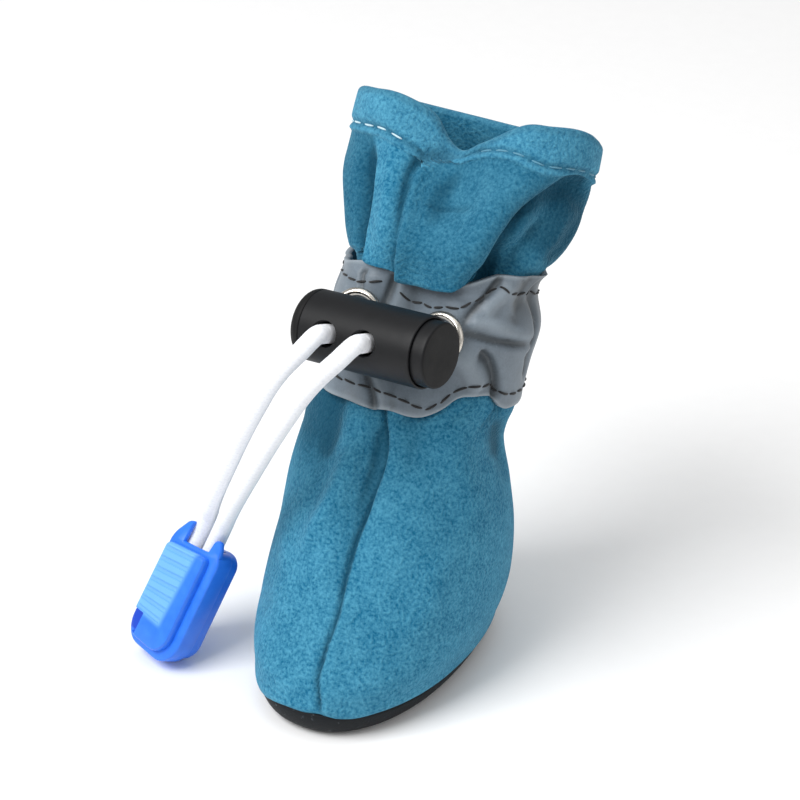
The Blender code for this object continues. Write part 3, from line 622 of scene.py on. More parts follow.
# Where the cloth above the band hangs lowest, how far it stands out there in millimetres, and whether it
# rolls over the band (1) or goes straight down behind the band's edge (0).
ROLL = table(
    RollRow,
    (-180, 1.45, 1.2, 0.7), (-120, 1.43, 0.8, 0.6), (-80, 1.395, 0.4, 0.3), (-58, 1.388, 0.4, 0.25),
    (-40, 1.415, 0.9, 0.6), (-22, 1.435, 1.4, 0.95), (-13, 1.440, 1.6, 1.0), (-8, 1.43, 2.5, 1.0),
    (0, 1.42, 3.0, 1.0), (10, 1.418, 3.0, 1.0), (27, 1.432, 2.3, 1.0), (37, 1.447, 1.2, 0.6),
    (46, 1.464, 0.5, 0.1), (56, 1.478, 0.3, 0.0), (66, 1.478, 0.2, 0.0), (80, 1.468, 0.2, 0.0),
    (100, 1.450, 0.3, 0.1), (140, 1.445, 1.0, 0.6), (180, 1.45, 1.2, 0.7),
)
# The roll's section: how far above its bottom, and how far out, as fixed millimetres and a share of
# the roll's own reach.
ROLL_PROFILE = table(
    ProfileRow,
    (-0.080, -1.2, 0.0), (-0.020, -1.2, 0.0), (0.024, -1.15, 0.0), (0.042, -0.6, 0.0),
    (0.046, 0.3, 0.08), (0.034, 0.9, 0.22), (0.012, 1.15, 0.42), (-0.001, 1.05, 0.68),
    (0.004, 0.8, 0.90), (0.024, 0.5, 1.0), (0.060, 0.3, 1.0), (0.105, 0.15, 0.88),
    (0.155, 0.05, 0.62), (0.210, 0.0, 0.30), (0.270, 0.0, 0.06),
)
# The foot's cloth swells a little below the band and goes in under its lower edge.
WAIST_PROFILE = table(
    ProfileRow,
    (-0.16, 0.0, 0.0), (-0.09, 0.25, 0.0), (-0.045, 0.55, 0.0), (-0.018, 0.45, 0.0),
    (0.004, -0.1, 0.0), (0.022, -0.9, 0.0), (0.055, -1.2, 0.0),
)
BAND_LOW = table(
    CollarRow,
    (-180, 0.99), (-90, 0.98), (-45, 0.97), (-21, 0.98), (-6, 0.975), (8, 0.98), (30, 1.0), (37, 1.025),
    (43, 1.057), (54, 1.065), (66, 1.055), (75, 1.01), (92, 0.985), (130, 0.98), (180, 0.99),
)
# The hem's stitching on each side of the seam.
STITCHES_LEFT = table(
    CollarRow,
    (-180, 1.862), (-100, 1.864), (-55, 1.865), (-41, 1.865), (-23, 1.860), (-13, 1.857),
    (20, 1.857), (180, 1.857),
)
STITCHES_RIGHT = table(
    CollarRow,
    (-180, 1.982), (-6, 1.982), (4, 1.975), (10, 1.965), (17, 1.952), (28, 1.915), (40, 1.880),
    (72, 1.866), (105, 1.880), (140, 1.865), (180, 1.862),
)
# How far the upper's lower edge hangs over the sole's rim, in millimetres.
SKIRT = table(
    SkirtRow,
    (-180, 0.9), (-110, 1.2), (-75, 2.0), (-50, 2.5), (-32, 2.2), (-18, 1.3), (-6, 0.7), (4, 0.5),
    (10, 0.1), (13, 0.1), (18, 0.7), (28, 1.0), (45, 0.6), (70, 0.5), (110, 0.8), (180, 0.9),
)
HEM_START, HEM_RISE, HEM_BELOW, HEM_GROOVE = 1.80, 0.55 * MM, 0.028, 0.5 * MM
TUCK, COLLAR_ROLL = 1.2 * MM, 0.5 * (UPPER_WALL + HEM_RISE)
ROLL_START = 2.0 - COLLAR_ROLL / SHAFT_LENGTH
HEM_STIFFNESS, PANEL_EDGE = 0.75, 12
STITCH_PINCH = 0.3 * MM
print("the collar rolls over", round(2000 * COLLAR_ROLL, 2), "mm thick")

# %% Rows of the upper
def round_table(rows, column, turns):
    """A column of a table that goes round the boot."""
    return smooth([row.turn for row in rows], [getattr(row, column) for row in rows], wrap(turns))


def profile_rows(profile, count, base, out, turns):
    """Stations and offsets of rows through a profile that sits on a base line round the boot."""
    marks = np.linspace(0, len(profile) - 1, count)[:, None]
    rise = smooth(range(len(profile)), [row.rise for row in profile], marks)
    fixed = smooth(range(len(profile)), [row.fixed for row in profile], marks)
    share = smooth(range(len(profile)), [row.share for row in profile], marks)
    return base + rise, MM * (fixed + share * out) + 0.0 * base


def between(low, high, count):
    """Rows of stations from one line round the boot to another, without the last."""
    share = np.linspace(0.0, 1.0, count, endpoint=False)[:, None]
    return low + (high - low) * share


turns = np.linspace(-180.0, 180.0, UPPER_TURNS, endpoint=False)
band_low = round_table(BAND_LOW, "station", turns)
roll_bottom, roll_out, lip = (round_table(ROLL, column, turns) for column in ("bottom", "out", "lip"))
level = np.ones(UPPER_TURNS)

# Stations and offsets of every row, from the sole's rim up. Where the cloth doesn't roll over the band,
# it goes straight down behind the band's edge.
waist_s, waist_o = profile_rows(WAIST_PROFILE, WAIST_ROWS, band_low, 0.0, turns)
roll_s, roll_o = profile_rows(ROLL_PROFILE, ROLL_ROWS, roll_bottom, roll_out, turns)
straight = np.linspace(-0.08, 0.27, ROLL_ROWS)[:, None]
lip = np.clip(lip, 0.0, 1.0)
roll_s = lip * roll_s + (1 - lip) * (roll_bottom + straight)
roll_o = lip * roll_o - (1 - lip) * TUCK * (1 - fading(straight, 0.02, 0.16))
foot_s = between(0.0 * level, waist_s[0], FOOT_ROWS)
hidden_s = between(waist_s[-1], roll_s[0], HIDDEN_ROWS)[1:]
shaft_s = between(roll_s[-1], HEM_START * level, SHAFT_ROWS)[1:]
hem_s = between(HEM_START * level, ROLL_START * level, HEM_ROWS)
outer_s = np.concatenate([foot_s, waist_s, hidden_s, roll_s, shaft_s, hem_s])
offsets = [0 * foot_s, waist_o, 0 * hidden_s - TUCK, roll_o, 0 * shaft_s, 0 * hem_s]
outer_t = np.broadcast_to(turns, outer_s.shape)
print("outside of the upper:", outer_s.shape, "rows and points")

# %% Hem and foot edge
# The hem stands out above its stitching, and the foot's lower edge is a small rounded bead.
seam_stations, seam_turns = zip(*SHAFT_SEAM[::-1])
seam_turn = np.interp(outer_s, seam_stations, seam_turns)
hem_left, hem_right = (round_table(rows, "station", turns) for rows in (STITCHES_LEFT, STITCHES_RIGHT))
hem_stitch = np.where(outer_t > seam_turn, hem_right, hem_left)
hem = fading(outer_s, hem_stitch - HEM_BELOW - 0.006, hem_stitch - HEM_BELOW + 0.006)
groove = np.exp(-(((outer_s - hem_stitch) * STATION_SCALE / 0.55) ** 2))
groove = groove * fading(np.abs(outer_t - seam_turn), 1.5, 5)
foot_edge = 0.35 * MM * np.exp(-(((outer_s - 0.035) / 0.03) ** 2))
foot_edge = foot_edge - 0.3 * MM * np.exp(-((outer_s / 0.014) ** 2))
offsets = np.concatenate(offsets) + HEM_RISE * hem - HEM_GROOVE * groove + foot_edge
base = skin(outer_s, outer_t, offsets)
print("hem line between stations", hem_stitch.min().round(3), "and", hem_stitch.max().round(3))

# %% Folds and seams of the upper
# Creases fade out behind the band, and grow again along the roll's own profile.
below = np.concatenate([foot_s, waist_s])
along_roll = np.linspace(0, len(ROLL_PROFILE) - 1, ROLL_ROWS)[:, None]
bare = np.concatenate([1 - fading(below, band_low - 0.01, band_low + 0.04), 0 * hidden_s,
                       fading(along_roll, 1.0, 5.0) + 0 * roll_s, 1 + 0 * shaft_s, 1 + 0 * hem_s])
# The roll moves with the crease above it as one piece, so that it never folds through itself.
on_foot = np.arange(len(outer_s))[:, None] < len(below)
relief_s = np.where(on_foot, outer_s, np.maximum(outer_s, roll_bottom + 0.05))
relief = relief_of(UPPER_CREASES, relief_s, outer_t) * bare
# The doubled hem is stiffer than the cloth below it, except where the panels meet.
stiff = fading(outer_s, hem_stitch - 0.05, hem_stitch + 0.02)
relief *= 1 - HEM_STIFFNESS * stiff * ((outer_t < seam_turn) | (outer_t > PANEL_EDGE))
seams = MM * sum(overlap_relief(seam, relief_s, outer_t) for seam in SEAMS) * bare
stitched = crease_relief(SEAM_STITCHES, relief_s, outer_t) * bare
seams = seams - STITCH_PINCH * stitched
outer = base + grid_normals(base) * (relief + seams)[..., None]
outer[..., 2] -= MM * round_table(SKIRT, "drop", turns) * (1 - fading(outer_s, 0.0, 0.13))
print(f"folds from {relief.min() * 1000:.1f} to {relief.max() * 1000:.1f} mm")

# %% Inside of the upper
# The collar's rounded edge, then the inside, which follows the outside's folds down to the sole.
edge_angles = np.linspace(0.0, math.pi, EDGE_ROWS)[1:-1, None] * level
edge_o = HEM_RISE - COLLAR_ROLL * (1 - np.cos(edge_angles))
edge = skin(ROLL_START, turns, edge_o)
lean = math.radians(SHAFT[-1].lean * SHAFT_LEAN)
upwards = np.array([0.0, math.sin(lean), math.cos(lean)])
edge = edge + (COLLAR_ROLL * np.sin(edge_angles))[..., None] * upwards
inner_s = between(ROLL_START * level, 0.0 * level, INNER_ROWS)
inner_s = np.concatenate([inner_s, 0.0 * level[None]])
inner_t = np.broadcast_to(turns, inner_s.shape)
drawn = fading(inner_s, band_low - 0.02, band_low + 0.06)
drawn = drawn * fading(-inner_s, -roll_bottom - 0.03, -roll_bottom + 0.05)
inner_relief = relief_of(UPPER_CREASES, inner_s, inner_t) * (1 - drawn) * fading(-inner_s, -1.99, -1.9)
inner = skin(inner_s, inner_t, inner_relief - TUCK * drawn - UPPER_WALL)
cloth = np.concatenate([outer, edge, inner])
upper_mesh = new_mesh("upper_cloth", cloth, loft(len(cloth), UPPER_TURNS, closed_rows=True))
print("whole upper:", cloth.shape[:2], "rows and points")

# %% Marks on the upper
# Painted shade darkens folds, hollows, the hem's groove and the seam's stitching, and the nap where it lies
# away from the light: over most of the shaft, and on both sides of the foot below the band. These are the
# shares of the painted shade there.
FOLD_SHARE, HOLLOW_SHARE, GROOVE_SHARE, STITCH_SHARE, INSIDE_SHARE = 0.75, 0.55, 0.5, 0.8, 0.35
SHAFT_RIGHT_SHARE, SHAFT_LEFT_SHARE, FOOT_LEFT_SHARE, FOOT_RIGHT_SHARE = 0.45, 0.6, 1.4, 0.2
shaft_cloth = fading(outer_s, 1.38, 1.5) * (1 - hem)
foot_cloth = fading(-outer_s, -1.2, -1.1)
painted_shade = FOLD_SHARE * np.clip(-(relief + 0.5 * seams) / (2.0 * MM), 0, 1)
painted_shade += HOLLOW_SHARE * hollows(outer, 7, 6, 0.05 * MM, 0.55 * MM)
painted_shade += GROOVE_SHARE * groove + STITCH_SHARE * stitched
painted_shade += SHAFT_RIGHT_SHARE * shaft_cloth * fading(outer_t, -19, -7) * fading(-outer_t, -172, -110)
painted_shade += SHAFT_LEFT_SHARE * shaft_cloth * fading(-outer_t, 40, 45) * fading(outer_t, -150, -100)
painted_shade += FOOT_LEFT_SHARE * foot_cloth * fading(outer_s, 0.58, 0.94) * bell(outer_t + 56, 27)
painted_shade += FOOT_RIGHT_SHARE * foot_cloth * fading(outer_s, 0.4, 0.9) * bell(outer_t - 60, 50)
blank = np.zeros((len(cloth) - len(outer), UPPER_TURNS))
# The inside of the upper gets an even share of painted shade.
set_mark(upper_mesh, "painted_shade", np.concatenate([np.clip(painted_shade, 0, 1), blank + INSIDE_SHARE]))
pressed_and_highlight = np.concatenate([hem * (1 - 0.6 * groove), blank])
# Painted highlight along the collar's rounded edge.
pressed_and_highlight[len(outer):len(outer) + len(edge)] = 1.0
set_mark(upper_mesh, "pressed_and_highlight", pressed_and_highlight)
add_piece("upper_cloth", upper_mesh, TEAL, "boot", ["upper"])

# %% [markdown]
# The band is a sleeve of grey reflective fabric, thin and rather stiff, so its creases are sharper than
# those of the pile. They start where the cord pulls, at the eyelets. Its edges follow the lines where it
# meets the foot and disappears under the roll of cloth.

# %% Reflective fabric
SILVER = Finish("reflective grey", Specular_IOR_Level=0.5, Sheen_Weight=0.1)
weave = SILVER.noise(0.35 * MM, 2.0, 0.6)
cloudy = SILVER.noise(4.5 * MM, 3.0, 0.55)
scuffs = SILVER.noise(1.6 * MM, 4.0, 0.7).above(0.60, 0.74)
tone = (weave - 0.5) * 0.5 + (cloudy - 0.5) * 1.1 + 0.5
grey = SILVER.blend(tone, srgb(88, 99, 109), srgb(122, 135, 146))
# Painted shade in the band's creases and dips.
grey = SILVER.blend(SILVER.mark("painted_shade") * 0.8, grey, srgb(58, 64, 68))
# Painted highlight on the band's edges and crease ridges.
grey = SILVER.blend(SILVER.mark("pressed_and_highlight") * 0.5, grey, srgb(170, 181, 188))
SILVER.use(Base_Color=SILVER.blend(scuffs * 0.25, grey, srgb(150, 160, 168)), Roughness=cloudy * 0.2 + 0.38)
SILVER.relief(weave * 0.6 + cloudy * 0.4, 0.12 * MM, 0.5)

# %% Creases of the band
BAND_TURNS, BAND_ROWS = 320, 60
BAND_EDGE, BAND_BEAD, BAND_UNDER_ROLL = 0.012, 0.12 * MM, 0.018
EYELET_STATION, EYELET_PATCH = 1.282, 4.6
BAND_CREASES = table(
    Crease,
    (-1.2, 0.5, 1.3, 0.05, 0.4, ((1.285, 34), (1.285, 44), (1.262, 60), (1.235, 80), (1.20, 104))),
    (0.7, 1.0, 1.2, 0.1, 0.4, ((1.33, 40), (1.325, 52), (1.30, 66), (1.27, 84), (1.25, 100))),
    (-0.9, 1.1, 0.6, 0.05, 0.2, ((1.32, 35), (1.40, 44), (1.46, 51), (1.50, 55))),
    (0.6, 1.2, 1.4, 0.1, 0.2, ((1.36, 48), (1.42, 56), (1.47, 64))),
    (-1.7, 1.7, 0.6, 0.15, 0.1, ((1.245, 49), (1.205, 58), (1.15, 65), (1.10, 69), (1.045, 72))),
    (0.7, 1.2, 1.6, 0.1, 0.2, ((1.24, 36), (1.18, 46), (1.12, 52), (1.07, 56))),
    (-0.9, 0.6, 0.9, 0.1, 0.2, ((1.42, -33), (1.37, -31), (1.32, -29), (1.28, -28))),
    (-0.9, 0.6, 1.0, 0.05, 0.2, ((1.42, -12), (1.37, -14), (1.32, -16), (1.27, -18))),
    (0.6, 1.0, 1.6, 0.1, 0.2, ((1.42, -7), (1.36, -8), (1.28, -10))),
    (-0.8, 0.6, 0.9, 0.1, 0.0, ((1.10, -17), (1.06, -15), (1.02, -9), (0.97, -4))),
    (0.5, 1.0, 1.4, 0.1, 0.0, ((1.10, -11), (1.06, -8), (1.02, -3), (0.97, 2))),
    (-1.5, 6.0, 6.0, 0.2, 0.2, ((1.47, 62), (1.46, 84), (1.45, 110), (1.45, 140))),
    (-0.7, 1.0, 1.0, 0.1, 0.3, ((1.20, 92), (1.14, 96), (1.06, 100))),
    (-0.8, 1.0, 1.2, 0.1, 0.1, ((1.44, 82), (1.38, 92), (1.32, 96), (1.2, 96))),
    (-0.6, 1.2, 1.2, 0.1, 0.1, ((1.42, -70), (1.32, -64), (1.2, -66), (1.08, -72))),
)
# Plain creases go round the back, which the photo doesn't show, from the band's top edge to its lower one.
for depth, width, crease_turns in (
    (-0.7, 1.2, (-110, -104, -108, -112)), (-0.7, 1.2, (-150, -146, -150, -148)),
    (-0.7, 1.2, (128, 132, 128, 132)), (-0.8, 1.2, (166, 170, 166, 170)),
    (0.5, 1.4, (148, 150, 148, 150)), (0.5, 1.4, (-130, -126, -130, -130)),
):
    path = tuple(zip((1.44, 1.3, 1.14, 1.0), crease_turns))
    BAND_CREASES += (Crease(depth, width, width, 0.1, 0.1, path),)
print(len(BAND_CREASES), "creases on the band")

# %% Ankle band
def tunnel_swell(stations):
    """How far the cord pushes the band out."""
    return TUNNEL_SWELL * np.exp(-(((stations - TUNNEL_MIDDLE) / TUNNEL_REACH) ** 2))


turns = np.linspace(-180.0, 180.0, BAND_TURNS, endpoint=False)
low, high = round_table(BAND_LOW, "station", turns), round_table(ROLL, "bottom", turns) + BAND_UNDER_ROLL
band_s = np.concatenate([between(low, high, BAND_ROWS), high[None]])
band_t = np.broadcast_to(turns, band_s.shape)
from_edge = np.minimum(band_s - low, high - band_s)
bead = BAND_BEAD * np.exp(-((from_edge / BAND_EDGE) ** 2))
base = skin(band_s, band_t, GAP + BAND_THICKNESS + tunnel_swell(band_s) + bead)
band_relief = relief_of(BAND_CREASES, band_s, band_t)
# The cloth is flat round the eyelets.
across, along = (np.abs(band_t) - EYELET_TURN) * TURN_SCALE, (band_s - EYELET_STATION) * STATION_SCALE
band_relief = band_relief * (1 - np.exp(-(across**2 + along**2) / EYELET_PATCH**2))
band_outer = base + grid_normals(base) * band_relief[..., None]
inner_offset = GAP - 0.15 * MM + tunnel_swell(band_s) + np.minimum(band_relief, 0.2 * MM)
band_inner = skin(band_s, band_t, inner_offset)[::-1][::2]
band_points = np.concatenate([band_outer, band_inner])
band_mesh = new_mesh("ankle_band", band_points, loft(len(band_points), BAND_TURNS, closed_rows=True))
blank = np.zeros((len(band_inner), BAND_TURNS))
# Painted shade in the band's creases and dips.
band_painted_shade = 0.6 * np.clip(-band_relief / (0.9 * MM), 0, 1)
band_painted_shade += 0.7 * hollows(band_outer, 6, 4, -0.03 * MM, 0.3 * MM)
set_mark(band_mesh, "painted_shade", np.concatenate([np.clip(band_painted_shade, 0, 1), blank]))
# Painted highlight along the band's edges and on its crease ridges.
band_painted_highlight = np.exp(-((from_edge / 0.008) ** 2)) + 0.5 * np.clip(band_relief / (0.7 * MM), 0, 1)
set_mark(band_mesh, "pressed_and_highlight", np.concatenate([np.clip(band_painted_highlight, 0, 1), blank]))
add_piece("ankle_band", band_mesh, SILVER, "boot", ["reflective_band"])

# %% [markdown]
# Stitches are separate short loops of thread. Each is a thin tube that rises out of the cloth and dives
# back in, laid along a seam's own path. The band's thread is black and the hem's is pale, in two copies:
# one with a painted highlight for the lit left side and one with painted shade for the right.

# %% Thread
def thread_finish(name, dark, light):
    finish = Finish(name, Roughness=0.7, Sheen_Weight=0.2)
    strands = finish.noise(0.18 * MM, 2.0, 0.5)
    finish.use(Base_Color=finish.blend(strands, dark, light))
    finish.relief(strands, 0.05 * MM, 0.6)
    return finish


BLACK_THREAD = thread_finish("black thread", srgb(6, 7, 8), srgb(24, 26, 28))
# The hem's pale thread in two copies: with painted highlight, and darkened with painted shade.
LIT_THREAD = thread_finish("lit thread", srgb(150, 196, 212), srgb(222, 236, 240))
SHADED_THREAD = thread_finish("shaded thread", srgb(48, 116, 146), srgb(108, 166, 188))

# %% Stitch helpers
class Cloth:
    """A sheet of points that can be read at a station and a turn."""

    def __init__(self, stations, turns, points):
        self.stations, self.turns, self.points = stations, turns, points
        self.normals = grid_normals(points)

    def at(self, station, turn):
        """The point and the outward direction there."""
        step = self.turns[1] - self.turns[0]
        column = wrap(turn - self.turns[0] - 180.0) + 180.0
        low = int(column // step) % len(self.turns)
        share, spots = column / step % 1.0, []
        for k in (low, (low + 1) % len(self.turns)):
            row = np.interp(station, self.stations[:, k], np.arange(len(self.stations)))
            here = min(int(row), len(self.stations) - 2)
            part = row - here
            spots.append([grid[here, k] * (1 - part) + grid[here + 1, k] * part
                          for grid in (self.points, self.normals)])
        point, normal = (a * (1 - share) + b * share for a, b in zip(*spots))
        return point, normal / np.linalg.norm(normal)


STITCH_POINTS, STITCH_SIDES, STITCH_RISE, STITCH_SINK = 7, 8, 1.1, 0.6


def stitch_line(name, sheet, path, finish, length, gap, radius, waver=0.0):
    """A row of stitches along a path of stations and turns, with all its sizes in millimetres."""
    length, gap, radius, waver = length * MM, gap * MM, radius * MM, waver * MM
    path = np.array(path, float)
    marks = np.linspace(0, len(path) - 1, 24 * len(path))
    stations = smooth(range(len(path)), path[:, 0], marks)
    turns_on = smooth(range(len(path)), path[:, 1], marks)
    spots = [sheet.at(s, t) for s, t in zip(stations, turns_on)]
    points, normals = np.array([p for p, _ in spots]), np.array([n for _, n in spots])
    run = np.concatenate([[0.0], np.cumsum(np.linalg.norm(np.diff(points, axis=0), axis=1))])
    rng = np.random.default_rng(len(path) * 7 + int(1e4 * length))
    all_points, faces, at, count = [], [], 0.3 * gap, 0
    while at + length < run[-1]:
        share = np.linspace(0.0, 1.0, STITCH_POINTS)
        here = at + share * length * rng.uniform(0.88, 1.06)
        line = np.stack([np.interp(here, run, points[:, i]) for i in range(3)], axis=1)
        up = np.stack([np.interp(here, run, normals[:, i]) for i in range(3)], axis=1)
        along = line[-1] - line[0]
        across = np.cross(up[3], along / np.linalg.norm(along))
        tilt = waver * rng.uniform(-1, 1)
        height = radius * (np.sin(math.pi * share) ** 0.5 * STITCH_RISE - STITCH_SINK)
        line = line + up * height[:, None] + across * (tilt * (share - 0.5))[:, None]
        thick = radius * (0.75 + 0.25 * np.sin(math.pi * share))
        rings, quads = tube(line, thick[:, None], STITCH_SIDES, STITCH_SIDES * STITCH_POINTS * count)
        all_points.append(rings.reshape(-1, 3))
        faces += quads
        at, count = at + length + gap * rng.uniform(0.8, 1.25), count + 1
    mesh = new_mesh(name, np.concatenate(all_points), faces)
    return add_piece(name, mesh, finish, "boot")


print("each stitch is", STITCH_POINTS, "rings of", STITCH_SIDES, "points")

# %% Stitches
# The hem's stitches follow its two lines on the shaft's outside, and the band's lie on the band.
shaft_rows = len(shaft_s) + len(hem_s)
outside = Cloth(outer_s[-shaft_rows:], outer_t[0], outer[-shaft_rows:])
# The left hem takes the copy with painted highlight and the right hem the copy with painted shade.
for side, rows, spots, thread, radius in (
    ("left", STITCHES_LEFT, range(-178, -12, 5), LIT_THREAD, 0.17),
    ("right", STITCHES_RIGHT, range(12, 180, 6), SHADED_THREAD, 0.15),
):
    path = [(float(round_table(rows, "station", turn)), turn) for turn in spots]
    stitch_line(f"hem_stitches_{side}", outside, path, thread, 2.3, 1.0, radius)

BAND_STITCHES = {
    "top": ((1.385, -178), (1.375, -130), (1.37, -90), (1.365, -51), (1.375, -29), (1.39, -21),
            (1.40, -13)),
    "front": ((1.365, -9), (1.345, -1), (1.345, 11), (1.365, 25), (1.385, 36), (1.44, 49), (1.455, 56),
              (1.44, 64), (1.42, 75), (1.40, 100), (1.385, 130), (1.385, 178)),
    "low": ((1.04, -178), (1.03, -120), (1.03, -60), (1.03, -33), (1.03, -16), (1.025, -2), (1.02, 14),
            (1.015, 25), (1.03, 32), (1.058, 37), (1.095, 45), (1.105, 56), (1.09, 66), (1.05, 78),
            (1.03, 100), (1.03, 140), (1.04, 178)),
}
band_sheet = Cloth(band_s, turns, band_outer)
for (edge_name, path), length, radius in zip(BAND_STITCHES.items(), (2.2, 2.2, 2.3), (0.21, 0.21, 0.22)):
    stitch_line(f"band_stitches_{edge_name}", band_sheet, path, BLACK_THREAD,
                length, 0.4, radius, 0.5)

# %% [markdown]
# The sole is thin black rubber, moulded as a shallow dish. Its rim climbs over the toe. Small studs on
# the underside grip the ground, and a fleece sock lining lies inside.

# %% Rubber
RUBBER = Finish("sole rubber", Specular_IOR_Level=0.2)
grain = RUBBER.noise(0.4 * MM, 3.0, 0.6)
dust = RUBBER.noise(0.9 * MM, 2.0, 0.6).above(0.66, 0.74)
black = RUBBER.blend(grain, srgb(8, 10, 13), srgb(27, 32, 37))
RUBBER.use(Base_Color=RUBBER.blend(dust * 0.5, black, srgb(110, 120, 128)), Roughness=grain * 0.25 + 0.5)
RUBBER.relief(grain, 0.12 * MM, 0.7)

# %% Outsole
SOLE_TURNS, SOLE_ROWS, STUD_PITCH, STUD_DEPTH = 220, 46, 3.4 * MM, 0.55 * MM


def sole_ring(turns, inset, heights):
    """A ring of the sole's outline, drawn in by inset, at the given heights."""
    points = skin(0.0, turns, -inset)
    points[..., 2] = heights
    return points


def fill_in(ring, count):
    """Rings that shrink from an outline to its middle, without the outline."""
    middle = np.array([0.0, ring[:, 1].mean(), ring[:, 2].mean()])
    share = np.linspace(1.0, 0.02, count)[1:, None, None]
    return middle + (ring - middle) * share


turns = np.linspace(-180.0, 180.0, SOLE_TURNS, endpoint=False)
rim = rim_height(turns)
angles = np.linspace(0.0, math.pi / 2, 11)
outside_rows, inside_rows = [], []
for angle in angles:
    inset, climb = SOLE_EDGE_ROLL * (1 - math.cos(angle)), 1 - math.sin(angle)
    outside_rows.insert(0, sole_ring(turns, inset, rim * climb))
    inside_height = SOLE_THICKNESS + (rim - SOLE_THICKNESS) * climb
    inside_rows.append(sole_ring(turns, SOLE_WALL + inset, inside_height))
under = fill_in(outside_rows[0], SOLE_ROWS)
studs = np.cos(under[..., :2] * 2 * math.pi / STUD_PITCH).sum(axis=-1)
under[..., 2] = STUD_DEPTH * fading(-studs, -0.35, 0.25)
floor_rows = fill_in(inside_rows[-1], 12)
sole_points = np.concatenate([under[::-1], outside_rows, inside_rows, floor_rows])
sole_mesh = new_mesh("rubber_sole", sole_points, capped(sole_points, SOLE_TURNS))
add_piece("rubber_sole", sole_mesh, RUBBER, "boot", ["outsole"])

# %% Sock lining
FLEECE = pile_finish("lining fleece", srgb(18, 88, 120), srgb(66, 140, 170), srgb(8, 56, 78),
                     srgb(120, 180, 200))
LINING_ROWS, CROWN = 24, 0.35 * MM
ring = sole_ring(turns, SOLE_WALL + SOLE_EDGE_ROLL + GAP, SOLE_THICKNESS + GAP)
lower = np.concatenate([ring[None], fill_in(ring, LINING_ROWS)])
top = lower.copy()
inwards = np.linspace(0.0, 1.0, LINING_ROWS)[:, None]
top[..., 2] += INSOLE_THICKNESS * fading(inwards, -0.05, 0.12) + CROWN * inwards
lining_points = np.concatenate([lower[:0:-1], top])
lining_mesh = new_mesh("sock_lining", lining_points, capped(lining_points, SOLE_TURNS))
# An even, light painted shade over the lining inside the boot.
set_mark(lining_mesh, "painted_shade", np.full(len(lining_mesh.vertices), 0.15))
set_mark(lining_mesh, "pressed_and_highlight", np.zeros(len(lining_mesh.vertices)))
add_piece("sock_lining", lining_mesh, FLEECE, "boot", ["insole"])

# %% [markdown]
# The eyelets are thin nickel rings pressed through the band. Each is a profile turned round the hole's
# own axis, with a rounded flange that catches the light.

# %% Nickel
NICKEL = Finish("nickel", Metallic=1.0)
scratches = NICKEL.noise(0.7 * MM, 4.0, 0.7)
NICKEL.use(Base_Color=NICKEL.blend(scratches, srgb(188, 182, 172), srgb(232, 228, 220)),
           Roughness=scratches * 0.22 + 0.12)
NICKEL.relief(scratches, 0.02 * MM, 0.5)

# %% Eyelets
EYELET_BORE, EYELET_FLANGE, EYELET_FLANGE_THICKNESS = 0.0060, 0.0087, 0.0008
EYELET_WALL, EYELET_SEAT, EYELET_SIDES = 0.0004, 0.0006, 72


def band_point(turn, offset=0.0):
    """A point on the band over the tunnel, and the direction in which it faces."""
    reach = GAP + BAND_THICKNESS + TUNNEL_SWELL + offset
    behind, near, ahead = (Vector(p) for p in skin(TUNNEL_MIDDLE, [turn - 4.0, turn, turn + 4.0], reach))
    above = Vector(skin(TUNNEL_MIDDLE + 0.02, turn, reach))
    return near, (ahead - behind).cross(above - near).normalized()


def eyelet_profile():
    """The eyelet's section: a barrel under a half-round flange."""
    bore, flange = 0.5 * EYELET_BORE, 0.5 * EYELET_FLANGE
    middle, half = 0.5 * (bore + flange), 0.5 * (flange - bore)
    outside = bore + EYELET_WALL
    rows = [(-BAND_THICKNESS, bore), (-BAND_THICKNESS, outside), (EYELET_SEAT, outside)]
    for angle in np.linspace(0.0, math.pi, 13):
        rise = EYELET_FLANGE_THICKNESS * math.sin(angle)
        rows.append((EYELET_SEAT + rise, middle + half * math.cos(angle)))
    return rows


for side, name in ((-1, "left"), (1, "right")):
    point, facing = band_point(side * EYELET_TURN)
    seat = Matrix.Translation(point) @ facing.to_track_quat("X", "Z").to_matrix().to_4x4()
    rings = revolve(eyelet_profile(), EYELET_SIDES, seat)
    mesh = new_mesh(f"nickel_eyelet_{name}", rings, loft(len(rings), EYELET_SIDES, closed_rows=True))
    add_piece(f"nickel_eyelet_{name}", mesh, NICKEL, "boot", [f"eyelet_{name}"])

# %% [markdown]
# The cord lock is a moulded black barrel across the front. A plunger slides in it on a spring, and both
# are pierced for the two runs of cord. The barrel is turned from one profile, and its holes are bored
# with cutters that have a wider, conical mouth, as a moulder eases an edge for a cord.

# %% Black plastic
CAP_JOINT, BUTTON_FACE = -9.7 * MM, 14.4 * MM
BLACK = Finish("black plastic", Specular_IOR_Level=0.28)
mould = BLACK.noise(0.22 * MM, 2.0, 0.6)
wear = BLACK.noise(2.6 * MM, 3.0, 0.6)
along = BLACK.axis("X")
body_black = BLACK.blend(wear, srgb(8, 9, 11), srgb(18, 19, 22))
# Painted shade: the barrel's rounded left cap and the plunger's end face are darkened almost to black.
ends = along.below(CAP_JOINT - 0.05 * MM, CAP_JOINT + 0.05 * MM)
ends = ends + along.above(BUTTON_FACE - 0.1 * MM, BUTTON_FACE - 0.02 * MM)
BLACK.use(Base_Color=BLACK.blend(ends * 0.85, body_black, srgb(3, 3, 4)),
          Roughness=wear * 0.18 + ends * 0.1 + 0.42)
BLACK.relief(mould, 0.03 * MM, 0.5)

